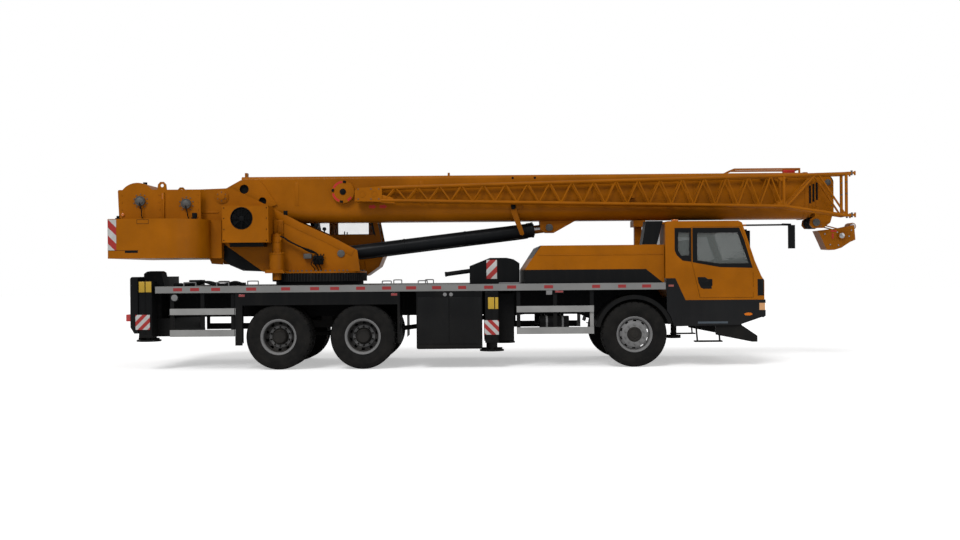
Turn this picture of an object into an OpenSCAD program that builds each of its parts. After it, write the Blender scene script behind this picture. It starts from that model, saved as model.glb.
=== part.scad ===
// Three-axle truck crane of about 20 t class with a four-section telescopic boom.
// X runs forward, Y to the vehicle's left and Z up. The origin lies on the ground, mid-length and mid-width.

/* [Overall] */
// Half of the overall width
half_w = 1250; // [1200:5:1300]
// Front face of the cab
cab_front_x = 4346; // [4250:5:4450]
// Rear wall of the cab
cab_rear_x = 2765; // [2740:5:2790]
// Highest line of the cab roof
cab_roof_z = 2333; // [2290:1:2345]
// Top of the carrier deck
deck_z = 1350; // [1330:1:1360]
// Height of the deck's edge rail
rail_h = 108; // [80:1:130]
// Sheet thickness of guards and covers
sheet_t = 8; // [5:0.5:12]

/* [Running gear] */
// Front axle station
axle_front_x = 2265; // [2240:5:2290]
// First rear axle station
axle_mid_x = -2090; // [-2100:1:-2080]
// Second rear axle station
axle_rear_x = -3440; // [-3450:1:-3430]
// Radius of each tyre
tyre_r = 525; // [515:1:530]
// Width of each tyre
tyre_w = 275; // [255:1:280]
// Gap between the two tyres of a twin wheel
twin_gap = 40; // [30:1:60]
// Gap from the outer tyre to the side of the vehicle
tyre_inset = 10; // [8:1:16]
// Radius of the tyre's bead
bead_r = 268; // [255:1:280]
// Radius of a wheel spindle
spindle_r = 45; // [40:1:52]
// Radial clearance of a running fit
fit = 0.05; // [0.02:0.01:0.09]
// Clearance between faces that lie against each other
seat = 0.3; // [0.1:0.1:0.6]
// Distance of each kingpin from the middle of the vehicle
kingpin_y = 925; // [905:1:928]
// Radius of each kingpin
kingpin_r = 22; // [18:1:26]

/* [Frame] */
// Outer half width of the frame rails
frame_half_w = 450; // [430:1:470]
// Width of one frame rail
frame_rail_w = 110; // [80:1:130]
// Underside of the frame rails behind the cab
frame_low_z = 830; // [815:1:860]
// Underside of the frame rails below the cab
frame_nose_z = 650; // [645:1:690]

/* [Outriggers] */
// Station of the rear right beam
rear_right_x = -5565; // [-5570:1:-5560]
// Station of the rear left beam
rear_left_x = -5320; // [-5326:1:-5316]
// Station of the front right beam
front_right_x = -20; // [-24:1:-16]
// Station of the front left beam
front_left_x = 225; // [220:1:232]
// Width of an outrigger beam
beam_w = 210; // [190:1:214]
// Height of an outrigger beam
beam_h = 260; // [220:1:270]
// Height of the rear beams' middle
rear_beam_z = 680; // [676:1:690]
// Height of the front beams' middle
front_beam_z = 568; // [560:1:572]
// Clearance of a beam in its box, taken up by pads
beam_gap = 4; // [2:0.5:6]
// Wall of an outrigger box
box_wall = 12; // [8:0.5:14]
// Half width of a jack's column along the vehicle
column_half = 105; // [90:1:107]
// Radius of a jack's rod
jack_rod_r = 50; // [40:1:60]
// Radius of a jack's float
float_r = 195; // [160:1:205]
// Underside of a stowed rear float
rear_float_z = 465; // [455:1:468]
// Underside of a stowed front float
front_float_z = 268; // [255:1:280]

/* [Superstructure] */
// Station of the slewing axis
slew_x = -2940; // [-2945:1:-2935]
// Outer radius of the slewing ring's teeth
ring_r = 800; // [780:1:810]
// Number of teeth of the slewing ring
ring_teeth = 96; // [60:4:120]
// Top of the slewing ring
ring_top_z = 1548; // [1540:1:1556]
// Height of the slewing ring
ring_h = 140; // [120:1:150]
// Outer half distance of the turntable's side plates
turn_half_w = 465; // [460:1:475]
// Thickness of the turntable's side plates
turn_plate_t = 25; // [20:1:30]
// Rear end of the counterweight
weight_rear_x = -6196; // [-6200:1:-6180]
// Front end of the counterweight's arms
weight_front_x = -4472; // [-4500:1:-4450]
// Top of the counterweight
weight_top_z = 2439; // [2420:1:2450]
// Underside of the counterweight
weight_low_z = 1805; // [1800:1:1850]
// Radius of the counterweight's front corners in plan
weight_corner_r = 600; // [500:10:700]
// Half width of the winch housing
winch_half_w = 620; // [600:2:640]
// Stations of the two winches
winch_x = [-5813, -5054]; // [-6000:1:-5000]
// Radius of the winch drums' flanges
winch_flange_r = 190; // [170:1:200]

/* [Boom] */
// Station of the boom's foot pin
foot_x = -4500; // [-4505:1:-4495]
// Height of the boom's foot pin
foot_z = 2835; // [2830:1:2840]
// Radius of the boom's foot pin
foot_pin_r = 45; // [40:1:50]
// Width of the base section
boom_w = 680; // [660:1:690]
// Height of the base section
boom_h = 772; // [760:1:776]
// Underside of the base section
boom_low_z = 2402; // [2400:1:2405]
// Plate thickness of every boom section
boom_t = 12; // [8:0.5:14]
// Gap around each inner section
section_gap = 18; // [15:0.5:22]
// Front end of the base section
boom_front_x = 5324; // [5300:1:5350]
// Length of each section's front collar
collar_l = 56; // [45:1:60]
// Distance from one collar to the next
collar_pitch = 66; // [62:1:70]
// Rear foot of the frame on top of the boom
top_frame_x0 = 3930; // [3900:5:3960]
// Front foot of that frame
top_frame_x1 = 5235; // [5200:5:5250]
// Height of that frame above the boom
top_frame_h = 88; // [80:1:95]
// Bar size of that frame
top_frame_t = 28; // [24:1:32]
// Station of the rope guide on top of the boom
guide_x = -724; // [-740:2:-700]
// Height of the rope guide above the boom
guide_h = 67; // [60:1:72]
// Station of the cable reel on the boom's side
reel_x = -2488; // [-2500:2:-2480]
// Height of the cable reel's middle
reel_z = 2905; // [2890:1:2920]
// Radius of the cable reel
reel_r = 190; // [170:2:200]
// Width of the cable reel
reel_w = 78; // [70:1:90]

/* [Luffing cylinder] */
// Station of the cylinder's lower pin
luff_low_x = -2544; // [-2550:1:-2540]
// Height of the cylinder's lower pin
luff_low_z = 1874; // [1870:1:1880]
// Station of the cylinder's upper pin
luff_high_x = 978; // [970:1:985]
// Height of the cylinder's upper pin
luff_high_z = 2288; // [2284:1:2290]
// Outer radius of the barrel
barrel_r = 118; // [105:1:119]
// Length of the barrel from its pin
barrel_l = 3280; // [3240:5:3300]
// Radius of the rod
luff_rod_r = 72; // [60:1:80]
// Radius of the cylinder's pins
luff_pin_r = 45; // [40:1:50]

/* [Jib] */
// Middle plane of the stowed jib
jib_y = -560; // [-570:1:-555]
// Half width of the jib between its chord tubes
jib_half_w = 130; // [120:1:135]
// Radius of a chord tube
chord_r = 26; // [20:1:30]
// Radius of a lacing tube
lace_r = 13; // [9:1:16]
// Number of lacing bays
jib_bays = 18; // [12:1:24]

/* [Hidden] */
$fn = 48;

paint = "orange";
dark = "dimgray";
steel = "lightgray";
black = "black";

rail_low_z = deck_z - rail_h;
frame_top_z = rail_low_z;
wheel_out_y = half_w - tyre_inset;
wheel_mid_y = wheel_out_y - tyre_w / 2;
twin_mid_y = wheel_mid_y - tyre_w - twin_gap;
frame_in_y = frame_half_w - frame_rail_w;
jack_y = half_w - float_r - 8;
column_in_y = jack_y - 95;
column_out_y = half_w - 12;
box_end_y = column_in_y - 14;
box_half_h = beam_h / 2 + beam_gap + box_wall;
box_rear_x0 = rear_right_x - beam_w / 2 - beam_gap - box_wall;
box_rear_x1 = rear_left_x + beam_w / 2 + beam_gap + box_wall;
box_front_x0 = front_right_x - beam_w / 2 - beam_gap - box_wall;
box_front_x1 = front_left_x + beam_w / 2 + beam_gap + box_wall;
nose_jack_x = 3100;

// Shapes used throughout

module block(x0, x1, y0, y1, z0, z1) {
    translate([x0, y0, z0]) cube([x1 - x0, y1 - y0, z1 - z0]);
}

module side_plate(points, y0, y1) {
    translate([0, y1, 0]) rotate([90, 0, 0]) linear_extrude(y1 - y0) polygon(points);
}

module rod_x(y, z, r, x0, x1) {
    translate([x0, y, z]) rotate([0, 90, 0]) cylinder(r = r, h = x1 - x0);
}

module rod_y(x, z, r, y0, y1) {
    translate([x, y1, z]) rotate([90, 0, 0]) cylinder(r = r, h = y1 - y0);
}

module rod_z(x, y, r, z0, z1) {
    translate([x, y, z0]) cylinder(r = r, h = z1 - z0);
}

// A straight bar from point a to point b, round unless it is given a number of sides
module bar(a, b, r, sides = 48) {
    d = b - a;
    l = norm(d);
    translate(a) rotate([0, acos(d[2] / l), atan2(d[1], d[0])]) cylinder(r = r, h = l, $fn = sides);
}

module both_sides() {
    children();
    mirror([0, 1, 0]) children();
}

module rounded_2d(w, h, r) {
    for (x = [r, w - r], y = [r, h - r]) translate([x, y]) circle(r);
    translate([r, 0]) square([w - 2 * r, h]);
    translate([0, r]) square([w, h - 2 * r]);
}

// Carrier frame with its four outrigger boxes

module frame_rails() {
    profile = [
        [box_rear_x0, rear_beam_z + box_half_h - 1], [box_rear_x1 + 80, rear_beam_z + box_half_h - 1],
        [box_rear_x1 + 200, frame_low_z], [box_front_x1 + 1100, frame_low_z], [box_front_x1 + 1500, frame_nose_z],
        [cab_front_x - 260, frame_nose_z], [cab_front_x - 260, frame_nose_z + 260],
        [cab_rear_x - 60, frame_nose_z + 260], [cab_rear_x - 360, frame_top_z], [box_rear_x0, frame_top_z]
    ];
    both_sides() side_plate(profile, frame_in_y, frame_half_w);
}

module frame_crosses() {
    for (x = [-4300, -1500, -700, 500, 2250])
        block(x, x + 70, -frame_in_y - 1, frame_in_y + 1, frame_low_z + 90, frame_top_z - 40);
    for (x = [cab_rear_x - 150, cab_front_x - 340])
        block(x, x + 80, -frame_in_y - 1, frame_in_y + 1, frame_nose_z + 30, frame_nose_z + 200);
}

// Panel behind the rear beams that carries the lamps
tail_x = -5806;

module tail_panel() {
    side_plate([[tail_x + 60, 600], [box_rear_x0 + 1, 600], [box_rear_x0 + 1, 1507], [tail_x + 25, 1507],
                [tail_x, 1480], [tail_x, 700]], -half_w + 10, half_w - 10);
}

// Posts that carry the cab's floor
module cab_mounts() {
    for (x = [cab_rear_x + 385, cab_front_x - 346])
        both_sides() block(x, x + 90, frame_in_y, frame_half_w, frame_nose_z + 259, cab_floor_z - seat);
}

module outrigger_box(x0, x1, mid_z) {
    block(x0, x1, -box_end_y, box_end_y, mid_z - box_half_h, mid_z + box_half_h);
}

// Webs that carry the low front box below the frame
module front_webs() {
    z0 = front_beam_z + box_half_h - 1;
    for (x = [box_front_x0, box_front_x1 - box_wall]) block(x, x + box_wall, -box_end_y, box_end_y, z0, frame_top_z - 52);
    both_sides() block(box_front_x0, box_front_x1, box_end_y - box_wall, box_end_y, z0, frame_top_z - 52);
}

// Cavity for one beam; side is -1 for a beam that slides out to the right
module beam_cavity(x, mid_z, side) {
    y0 = side < 0 ? -box_end_y - 1 : -box_end_y + box_wall;
    y1 = side < 0 ? box_end_y - box_wall : box_end_y + 1;
    half = beam_w / 2 + beam_gap;
    half_h = beam_h / 2 + beam_gap;
    block(x - half, x + half, y0, y1, mid_z - half_h, mid_z + half_h);
}

module chassis_frame() {
    color(dark) difference() {
        union() {
            frame_rails();
            frame_crosses();
            outrigger_box(box_rear_x0, box_rear_x1, rear_beam_z);
            outrigger_box(box_front_x0, box_front_x1, front_beam_z);
            front_webs();
            tail_panel();
            cab_mounts();
            // Mount and outer tube of the jack below the nose
            block(nose_jack_x - 110, nose_jack_x + 110, -frame_in_y - 1, frame_in_y + 1,
                  frame_nose_z + 60, frame_nose_z + 200);
            rod_z(nose_jack_x, 0, 75, frame_nose_z - 20, frame_nose_z + 300);
            // Pedestal below the slewing ring
            rod_z(slew_x, 0, ring_r - 60, frame_top_z, ring_top_z - ring_h);
            rod_z(slew_x, 0, frame_half_w - 20, frame_top_z - 200, frame_top_z + 1);
        }
        beam_cavity(rear_right_x, rear_beam_z, -1);
        beam_cavity(rear_left_x, rear_beam_z, 1);
        beam_cavity(front_right_x, front_beam_z, -1);
        beam_cavity(front_left_x, front_beam_z, 1);
        // Passage of the propeller shaft through the front webs
        bar([-300, 0, shaft_z(-300)], [500, 0, shaft_z(500)], 50);
        rod_z(nose_jack_x, 0, jack_rod_r + fit, frame_nose_z - 21, frame_nose_z + 280);
        rod_z(slew_x, 0, 240, frame_top_z - 201, ring_top_z);
    }
    // Pads that each beam slides on at the mouth of its box
    color(steel) for (b = [[rear_right_x, -1, rear_beam_z], [rear_left_x, 1, rear_beam_z],
                           [front_right_x, -1, front_beam_z], [front_left_x, 1, front_beam_z]])
        translate([b[0], b[1] * (box_end_y - 60), b[2] - beam_h / 2 - beam_gap - 1])
            block(-70, 70, -50, 50, 0, beam_gap + 1 - seat);
}

// Height of the propeller shaft between the rear bogie and the gearbox
shaft_x1 = 944;
function shaft_z(x) = tyre_r + (x - axle_mid_x) * (902 - tyre_r) / (shaft_x1 - axle_mid_x);

deck_rear_x = -5403;

module deck() {
    color("silver") difference() {
        union() {
            block(deck_rear_x, cab_rear_x, -half_w + 4, half_w - 4, deck_z - 20, deck_z);
            both_sides() block(deck_rear_x, cab_rear_x, half_w - 14, half_w, rail_low_z, deck_z);
            for (x = [deck_rear_x + 60 : 700 : cab_rear_x - 400])
                block(x, x + 60, -half_w + 10, half_w - 10, frame_top_z + seat, deck_z - 19);
        }
        rod_z(slew_x, 0, ring_r - 58, frame_top_z - 10, deck_z + 1);
        // Room for the rear left jack and the engine
        block(deck_rear_x - 1, rear_left_x + column_half + 12, column_in_y - 12, half_w + 1, 0, deck_z + 1);
        block(700, 2250, -frame_half_w - 20, frame_half_w + 20, frame_top_z - 1, deck_z + 1);
    }
}

// Cab

cab_wall = 38;
cab_out_y = half_w - 4;
cab_floor_z = 1066;
cab_sill_z = 1418;
cab_outline = [
    [cab_rear_x, cab_sill_z], [cab_rear_x + 158, cab_sill_z], [cab_rear_x + 318, cab_floor_z],
    [cab_front_x, cab_floor_z], [cab_front_x, 1371], [cab_front_x - 47, 1445], [cab_front_x - 150, 1690],
    [cab_front_x - 350, cab_roof_z - 30], [cab_front_x - 410, cab_roof_z], [cab_rear_x + 40, cab_roof_z],
    [cab_rear_x, cab_roof_z - 40]
];
door_rear_x = cab_rear_x + 419;
door_front_x = cab_front_x - 176;
door_gap = 5;
door_outline = [
    [door_rear_x, cab_roof_z - 95], [cab_front_x - 372, cab_roof_z - 95], [door_front_x, 1700],
    [door_front_x, 1100], [door_rear_x + 130, 1100], [door_rear_x, 1677]
];
door_window = [
    [door_rear_x + 85, cab_roof_z - 184], [cab_front_x - 412, cab_roof_z - 184], [door_front_x - 55, 1640],
    [door_front_x - 530, 1640], [door_rear_x + 85, 1700]
];
quarter_window = [
    [cab_rear_x + 200, cab_roof_z - 177], [cab_rear_x + 392, cab_roof_z - 177], [cab_rear_x + 392, 1775],
    [cab_rear_x + 250, 1775], [cab_rear_x + 200, 1860]
];
pane_t = 8;
screen_tilt = atan2(200, cab_roof_z - 30 - 1690);

module cab_inside() {
    w = cab_wall;
    points = [
        [cab_rear_x + w, cab_sill_z + w], [cab_rear_x + 185, cab_sill_z + w], [cab_rear_x + 345, cab_floor_z + w],
        [cab_front_x - w, cab_floor_z + w], [cab_front_x - w, 1365], [cab_front_x - 83, 1430],
        [cab_front_x - 190, 1690], [cab_front_x - 388, cab_roof_z - 45], [cab_front_x - 420, cab_roof_z - w],
        [cab_rear_x + w, cab_roof_z - w]
    ];
    side_plate(points, -cab_out_y + w, cab_out_y - w);
}

// Frame of the windscreen's plane: its origin is the middle of the screen's lower edge
module on_screen() {
    translate([cab_front_x - 150, 0, 1690]) rotate([0, -screen_tilt, 0]) children();
}

module mirror_arm(reach) {
    y = cab_out_y - 30;
    x = cab_front_x + reach;
    bar([cab_front_x - 372, y - 14, cab_roof_z - 75], [x + 50, y - 14, 2262], 14);
    bar([x - 95, y - 14, 2266], [x + 50, y - 14, 2262], 18);
    translate([x, y - 40, 1880]) linear_extrude(376) rounded_2d(110, 70, 28);
}

module cab_shell() {
    color(paint) difference() {
        side_plate(cab_outline, -cab_out_y, cab_out_y);
        cab_inside();
        both_sides() {
            side_plate(door_outline, cab_out_y - 80, cab_out_y + 1);
            side_plate(quarter_window, cab_out_y - 80, cab_out_y + 1);
        }
        on_screen() block(-90, 60, -cab_out_y + 90, cab_out_y - 90, 30, 545);
        block(cab_rear_x - 1, cab_rear_x + 60, -700, 700, 1700, 2150);
    }
    color(dark) {
        mirror([0, 1, 0]) mirror_arm(395);
        mirror_arm(255);
    }
}

module carrier_glass() {
    color("lightblue") {
        both_sides() side_plate(quarter_window, cab_out_y - 24 - pane_t, cab_out_y - 24);
        on_screen() block(-26 - pane_t, -26, -cab_out_y + 90, cab_out_y - 90, 30, 545);
        block(cab_rear_x + 14, cab_rear_x + 14 + pane_t, -700, 700, 1700, 2150);
    }
}

module seat_shape(x, y, z) {
    translate([x, y, z]) {
        block(-240, 240, -230, 230, 0, 130);
        translate([-230, -220, 120]) rotate([0, -10, 0]) cube([110, 440, 560]);
        block(-150, 150, -120, 120, -250, 1);
    }
}

module cab_interior() {
    floor_z = cab_floor_z + cab_wall + seat;
    color(dark) {
        for (y = [-700, 700]) seat_shape(3420, y, floor_z + 250);
        block(cab_front_x - 430, cab_front_x - 200, -1150, 1150, floor_z, 1500);
        bar([cab_front_x - 440, 700, 1420], [cab_front_x - 560, 700, 1620], 22);
        translate([cab_front_x - 560, 700, 1620]) rotate([0, -31, 0])
            rotate_extrude() translate([215, 0]) circle(16, $fn = 16);
        translate([cab_front_x - 560, 700, 1620]) rotate([0, -31, 0]) {
            block(-216, 216, -16, 16, -10, 10);
            cylinder(r = 45, h = 30, center = true);
        }
    }
}

module cab_door() {
    color(paint) difference() {
        offset_door = [
            [door_rear_x + door_gap, cab_roof_z - 95 - door_gap],
            [cab_front_x - 372 - door_gap, cab_roof_z - 95 - door_gap],
            [door_front_x - door_gap, 1700], [door_front_x - door_gap, 1100 + door_gap],
            [door_rear_x + 130 + door_gap, 1100 + door_gap], [door_rear_x + door_gap, 1677]
        ];
        side_plate(offset_door, cab_out_y - cab_wall, cab_out_y);
        side_plate(door_window, cab_out_y - cab_wall - 1, cab_out_y + 1);
    }
    // Hinge leaves at the front edge
    color(dark) for (z = [1180, 1500])
        block(door_front_x - door_gap - 20, door_front_x - seat, cab_out_y - 8, cab_out_y + 1, z, z + 90);
    color(black) block(door_rear_x + 150, door_rear_x + 330, cab_out_y, cab_out_y + 3.5, 1290, 1400);
}

module door_glass() {
    color("lightblue") side_plate(door_window, cab_out_y - 24 - pane_t, cab_out_y - 24);
}

module cab_door_left() { cab_door(); }
module cab_door_right() { mirror([0, 1, 0]) cab_door(); }
module door_glass_left() { door_glass(); }
module door_glass_right() { mirror([0, 1, 0]) door_glass(); }

bumper_t = 36;
arch_r = 630;
arch_lip_r = 565;
arch_clear = 12;

turn_x0 = cab_front_x - 84;
turn_y0 = half_w - 60;
turn_z0 = 900;
turn_z1 = 1013;

module bumper() {
    skirt = [
        [cab_rear_x + 20, cab_sill_z - seat], [cab_rear_x + 157, cab_sill_z - seat],
        [cab_rear_x + 317, cab_floor_z - seat], [cab_front_x, cab_floor_z - seat], [cab_front_x + 17, 808],
        [cab_front_x - 400, 667], [cab_rear_x + 20, 645]
    ];
    color(black) difference() {
        union() {
            both_sides() side_plate(skirt, half_w - bumper_t, half_w);
            nose = [
                [cab_front_x - 60, cab_floor_z - seat], [cab_front_x + 17, cab_floor_z - seat],
                [cab_front_x + 17, 808], [cab_front_x - 20, 780], [cab_front_x - 60, 790]
            ];
            side_plate(nose, -half_w, half_w);
            // Crossbar that carries the bumper on the frame
            block(cab_front_x - 260 + seat, cab_front_x - 59, -500, 500, 820, 900);
        }
        // Pockets of the turn lamps
        both_sides() block(turn_x0 - seat, cab_front_x + 30, turn_y0 - seat, half_w + 1, turn_z0 - seat,
                           turn_z1 + seat);
        rod_y(axle_front_x, tyre_r, arch_r + arch_clear, -half_w - 1, half_w + 1);
    }
}

module lamps() {
    color("white") both_sides() {
        rod_x(850, 930, 85, cab_front_x + 17 + seat, cab_front_x + 40);
        block(turn_x0, cab_front_x + 8, turn_y0, half_w - 2, turn_z0, turn_z1);
        block(tail_x - 77, tail_x - seat, 900, 1200, 795, 905);
    }
}

hood_half_w = 1180;
hood_rear_x = 517;
hood_top_z = 1960;
hood_split_z = 1571;

module hood_profile(inset) {
    i = inset;
    polygon([
        [hood_rear_x + i, deck_z + (i > 0 ? -1 : seat)], [hood_rear_x + i, hood_split_z],
        [hood_rear_x + 256 + i, hood_top_z - i], [cab_rear_x - 8 - i, hood_top_z - i],
        [cab_rear_x - 8 - i, deck_z + (i > 0 ? -1 : seat)]
    ]);
}

module engine_hood() {
    color(paint) difference() {
        translate([0, hood_half_w, 0]) rotate([90, 0, 0]) linear_extrude(2 * hood_half_w) hood_profile(0);
        translate([0, hood_half_w - 40, 0]) rotate([90, 0, 0])
            linear_extrude(2 * hood_half_w - 80) hood_profile(40);
    }
    color(black) {
        // Air intake behind the cab
        side_plate([[2405, hood_top_z], [2640, hood_top_z], [2740, 2340], [2470, 2340]], -hood_half_w, -hood_half_w + 320);
        // Boom rest
        block(2440, 2560, -70, 70, hood_top_z, 2290);
        block(2400, 2600, -210, 210, 2290, boom_low_z - 6);
    }
}

module engine() {
    color(steel) {
        block(800, 1900, -280, 280, frame_top_z + 5, 1800);
        rod_x(0, 1420, 200, 1899, 2180);
        // Gearbox between the rails, and feet on the rails
        block(950, 1380, -200, 200, 830, frame_top_z + 6);
        for (x = [1050, 1700]) block(x, x + 90, -frame_half_w + 10, frame_half_w - 10, frame_top_z + seat, frame_top_z + 60);
    }
}

locker_x0 = -1227;
locker_x1 = -171;

module tanks() {
    color(black) {
        both_sides() translate([0, half_w - 5, 0]) rotate([90, 0, 0]) linear_extrude(640)
            translate([locker_x0, 315]) rounded_2d(locker_x1 - locker_x0, rail_low_z - seat - 315, 30);
        both_sides() {
            rod_x(820, 712, 105, 766, 1243);
            for (x = [860, 1120]) block(x, x + 40, frame_half_w + seat, 830, 815, 850);
        }
    }
}

guard_y = half_w - 6;

module side_guard(x0, x1) {
    for (z = [[892, 992], [542, 651]])
        block(x0, x1, guard_y - 30, guard_y, z[0], z[1]);
    for (x = [x0, (x0 + x1) / 2 - 30, x1 - 60])
        block(x, x + 60, guard_y - 50, guard_y - 29, 542, rail_low_z - seat);
}

module rear_mudguard() {
    x0 = axle_rear_x - tyre_r - 163;
    x1 = axle_mid_x + tyre_r + 75;
    y0 = twin_mid_y - tyre_w / 2 - 20;
    difference() {
        union() {
            block(x0, x1, y0, half_w - 2, rail_low_z - 40, rail_low_z - 40 + sheet_t);
            block(x0, x0 + 117, y0, half_w - 2, 395, rail_low_z - 39);
            block(x1 - 40, x1, y0, half_w - 2, 410, rail_low_z - 39);
            block(x0, x1, half_w - 2 - sheet_t, half_w - 2, 1037, rail_low_z - seat);
        }
        block(x0 + sheet_t, x0 + 118, y0 - 1, half_w - 2 - sheet_t, 394, rail_low_z - 40);
        block(x1 - 41, x1 - sheet_t, y0 - 1, half_w - 2 - sheet_t, 409, rail_low_z - 40);
    }
}

module front_mudguard() {
    y0 = 740;
    a0 = 16;
    a1 = 168;
    translate([axle_front_x, 0, tyre_r]) rotate([90, 0, 0]) {
        translate([0, 0, -half_w]) difference() {
            cylinder(r = arch_r, h = half_w - y0);
            translate([0, 0, 12]) cylinder(r = arch_r - sheet_t, h = half_w - y0);
            translate([0, 0, -1]) cylinder(r = arch_lip_r, h = half_w);
            linear_extrude(2 * half_w, center = true)
                polygon([[0, 0], 2000 * [cos(a0), sin(a0)], [2000, -2000], [-2000, -2000],
                         2000 * [cos(a1), sin(a1)]]);
        }
    }
}

module cab_step() {
    for (x = [3260, 3620]) bar([x, half_w - 70, 640], [x + 20, half_w - 70, 400], 14);
    block(3240, 3680, half_w - 180, half_w - 40, 390, 412);
    block(3300, 3740, half_w - 190, half_w - bumper_t - seat, 655, 680);
    // Hanger of the step, seated inside the skirt
    for (x = [3246, 3606]) block(x, x + 28, half_w - 90, half_w - bumper_t - seat, 630, 760);
}

// Stay between the frame and the front mudguard
module arch_stay() {
    block(axle_front_x - 30, axle_front_x + 30, frame_half_w + seat, 760, tyre_r + arch_r - 7, tyre_r + arch_r + 5);
}

// Arms and bar of the front underrun guard, seated inside the skirt
underrun_x1 = cab_front_x - 109;

module underrun_guard() {
    both_sides() side_plate([[3560, 740], [3960, 740], [3985, 660], [underrun_x1, 487], [underrun_x1, 390],
        [underrun_x1 - 87, 390], [3576, 507]], half_w - 90, half_w - bumper_t - seat);
    block(underrun_x1 - 87, underrun_x1, -half_w + 61, half_w - 61, 390, 487);
}

module guards() {
    color(dark) underrun_guard();
    color(dark) both_sides() {
        side_guard(box_rear_x1 + 25, axle_rear_x - tyre_r - 175);
        side_guard(front_left_x + 154, axle_front_x - arch_r - 20);
        rear_mudguard();
        front_mudguard();
        arch_stay();
        cab_step();
    }
}

// Running gear

module tyre_profile() {
    w = tyre_w / 2;
    polygon([
        [bead_r, -w + 30], [bead_r + 60, -w + 8], [bead_r + 130, -w], [tyre_r - 70, -w + 6], [tyre_r - 25, -w + 18],
        [tyre_r - 6, -w + 40], [tyre_r, 0], [tyre_r - 6, w - 40], [tyre_r - 25, w - 18], [tyre_r - 70, w - 6],
        [bead_r + 130, w], [bead_r + 60, w - 8], [bead_r, w - 30], [bead_r, w - 50], [bead_r + 14, w - 60],
        [bead_r + 14, -w + 60], [bead_r, -w + 50]
    ]);
}

module tyre(x, y) {
    color(black) translate([x, y, tyre_r]) rotate([-90, 0, 0]) rotate_extrude($fn = 72) tyre_profile();
}

rim_r = bead_r - seat;

// One rim with its disc; the disc lies at the inner side for out = 1
module rim(x, y, out) {
    w = tyre_w / 2 - 26;
    translate([x, y, tyre_r]) rotate([-90, 0, 0]) scale([1, 1, 1]) mirror([0, 0, out > 0 ? 0 : 1])
        difference() {
            rotate_extrude($fn = 72) polygon([
                [rim_r - 14, -w], [rim_r, -w], [rim_r, w], [rim_r + 18, w + 4], [rim_r + 18, w + 12],
                [rim_r - 8, w + 12], [rim_r - 14, w - 6], [rim_r - 34, -w + 70], [rim_r - 90, -w + 8],
                [120, -w + 8], [120, -w - 10], [rim_r - 14, -w - 10]
            ]);
            for (a = [0 : 45 : 359]) rotate(a) translate([rim_r - 75, 0, -w - 20]) cylinder(r = 26, h = 60);
        }
}

module hub(x, y0, y1, r) {
    rod_y(x, tyre_r, r, y0, y1);
}

hub_r = 122;

module twin_rims(x) {
    gap_y = (wheel_mid_y + twin_mid_y) / 2;
    disc_y = wheel_mid_y - tyre_w / 2 + 16;
    color(steel) difference() {
        union() {
            rim(x, wheel_mid_y, 1);
            rim(x, twin_mid_y, -1);
            hub(x, twin_mid_y - 60, wheel_mid_y + 50, hub_r);
            hub(x, wheel_mid_y + 49, wheel_mid_y + 90, 85);
            for (a = [0 : 36 : 359])
                rod_y(x + 150 * cos(a), tyre_r + 150 * sin(a), 15, twin_mid_y + tyre_w / 2 - 46, disc_y + 46);
        }
        hub(x, twin_mid_y - 61, wheel_mid_y + 20, spindle_r + fit);
    }
}

module front_rim(x) {
    disc_y = wheel_mid_y + tyre_w / 2 - 26;
    color(steel) difference() {
        union() {
            rim(x, wheel_mid_y, -1);
            hub(x, wheel_mid_y - 60, disc_y + 22, hub_r);
            for (a = [0 : 36 : 359])
                rod_y(x + 150 * cos(a), tyre_r + 150 * sin(a), 15, disc_y - 20, disc_y + 26);
        }
        hub(x, wheel_mid_y - 61, wheel_mid_y + 60, spindle_r + fit);
    }
}

module twin_tyres(x) {
    tyre(x, wheel_mid_y);
    tyre(x, twin_mid_y);
}

module mid_tyres_left() { twin_tyres(axle_mid_x); }
module mid_tyres_right() { mirror([0, 1, 0]) twin_tyres(axle_mid_x); }
module mid_rims_left() { twin_rims(axle_mid_x); }
module mid_rims_right() { mirror([0, 1, 0]) twin_rims(axle_mid_x); }
module rear_tyres_left() { twin_tyres(axle_rear_x); }
module rear_tyres_right() { mirror([0, 1, 0]) twin_tyres(axle_rear_x); }
module rear_rims_left() { twin_rims(axle_rear_x); }
module rear_rims_right() { mirror([0, 1, 0]) twin_rims(axle_rear_x); }
module front_tyre_left() { tyre(axle_front_x, wheel_mid_y); }
module front_tyre_right() { mirror([0, 1, 0]) tyre(axle_front_x, wheel_mid_y); }
module front_rim_left() { front_rim(axle_front_x); }
module front_rim_right() { mirror([0, 1, 0]) front_rim(axle_front_x); }

knuckle_gap = 1;
eye_h = 90;
eye_r = 48;

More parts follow.
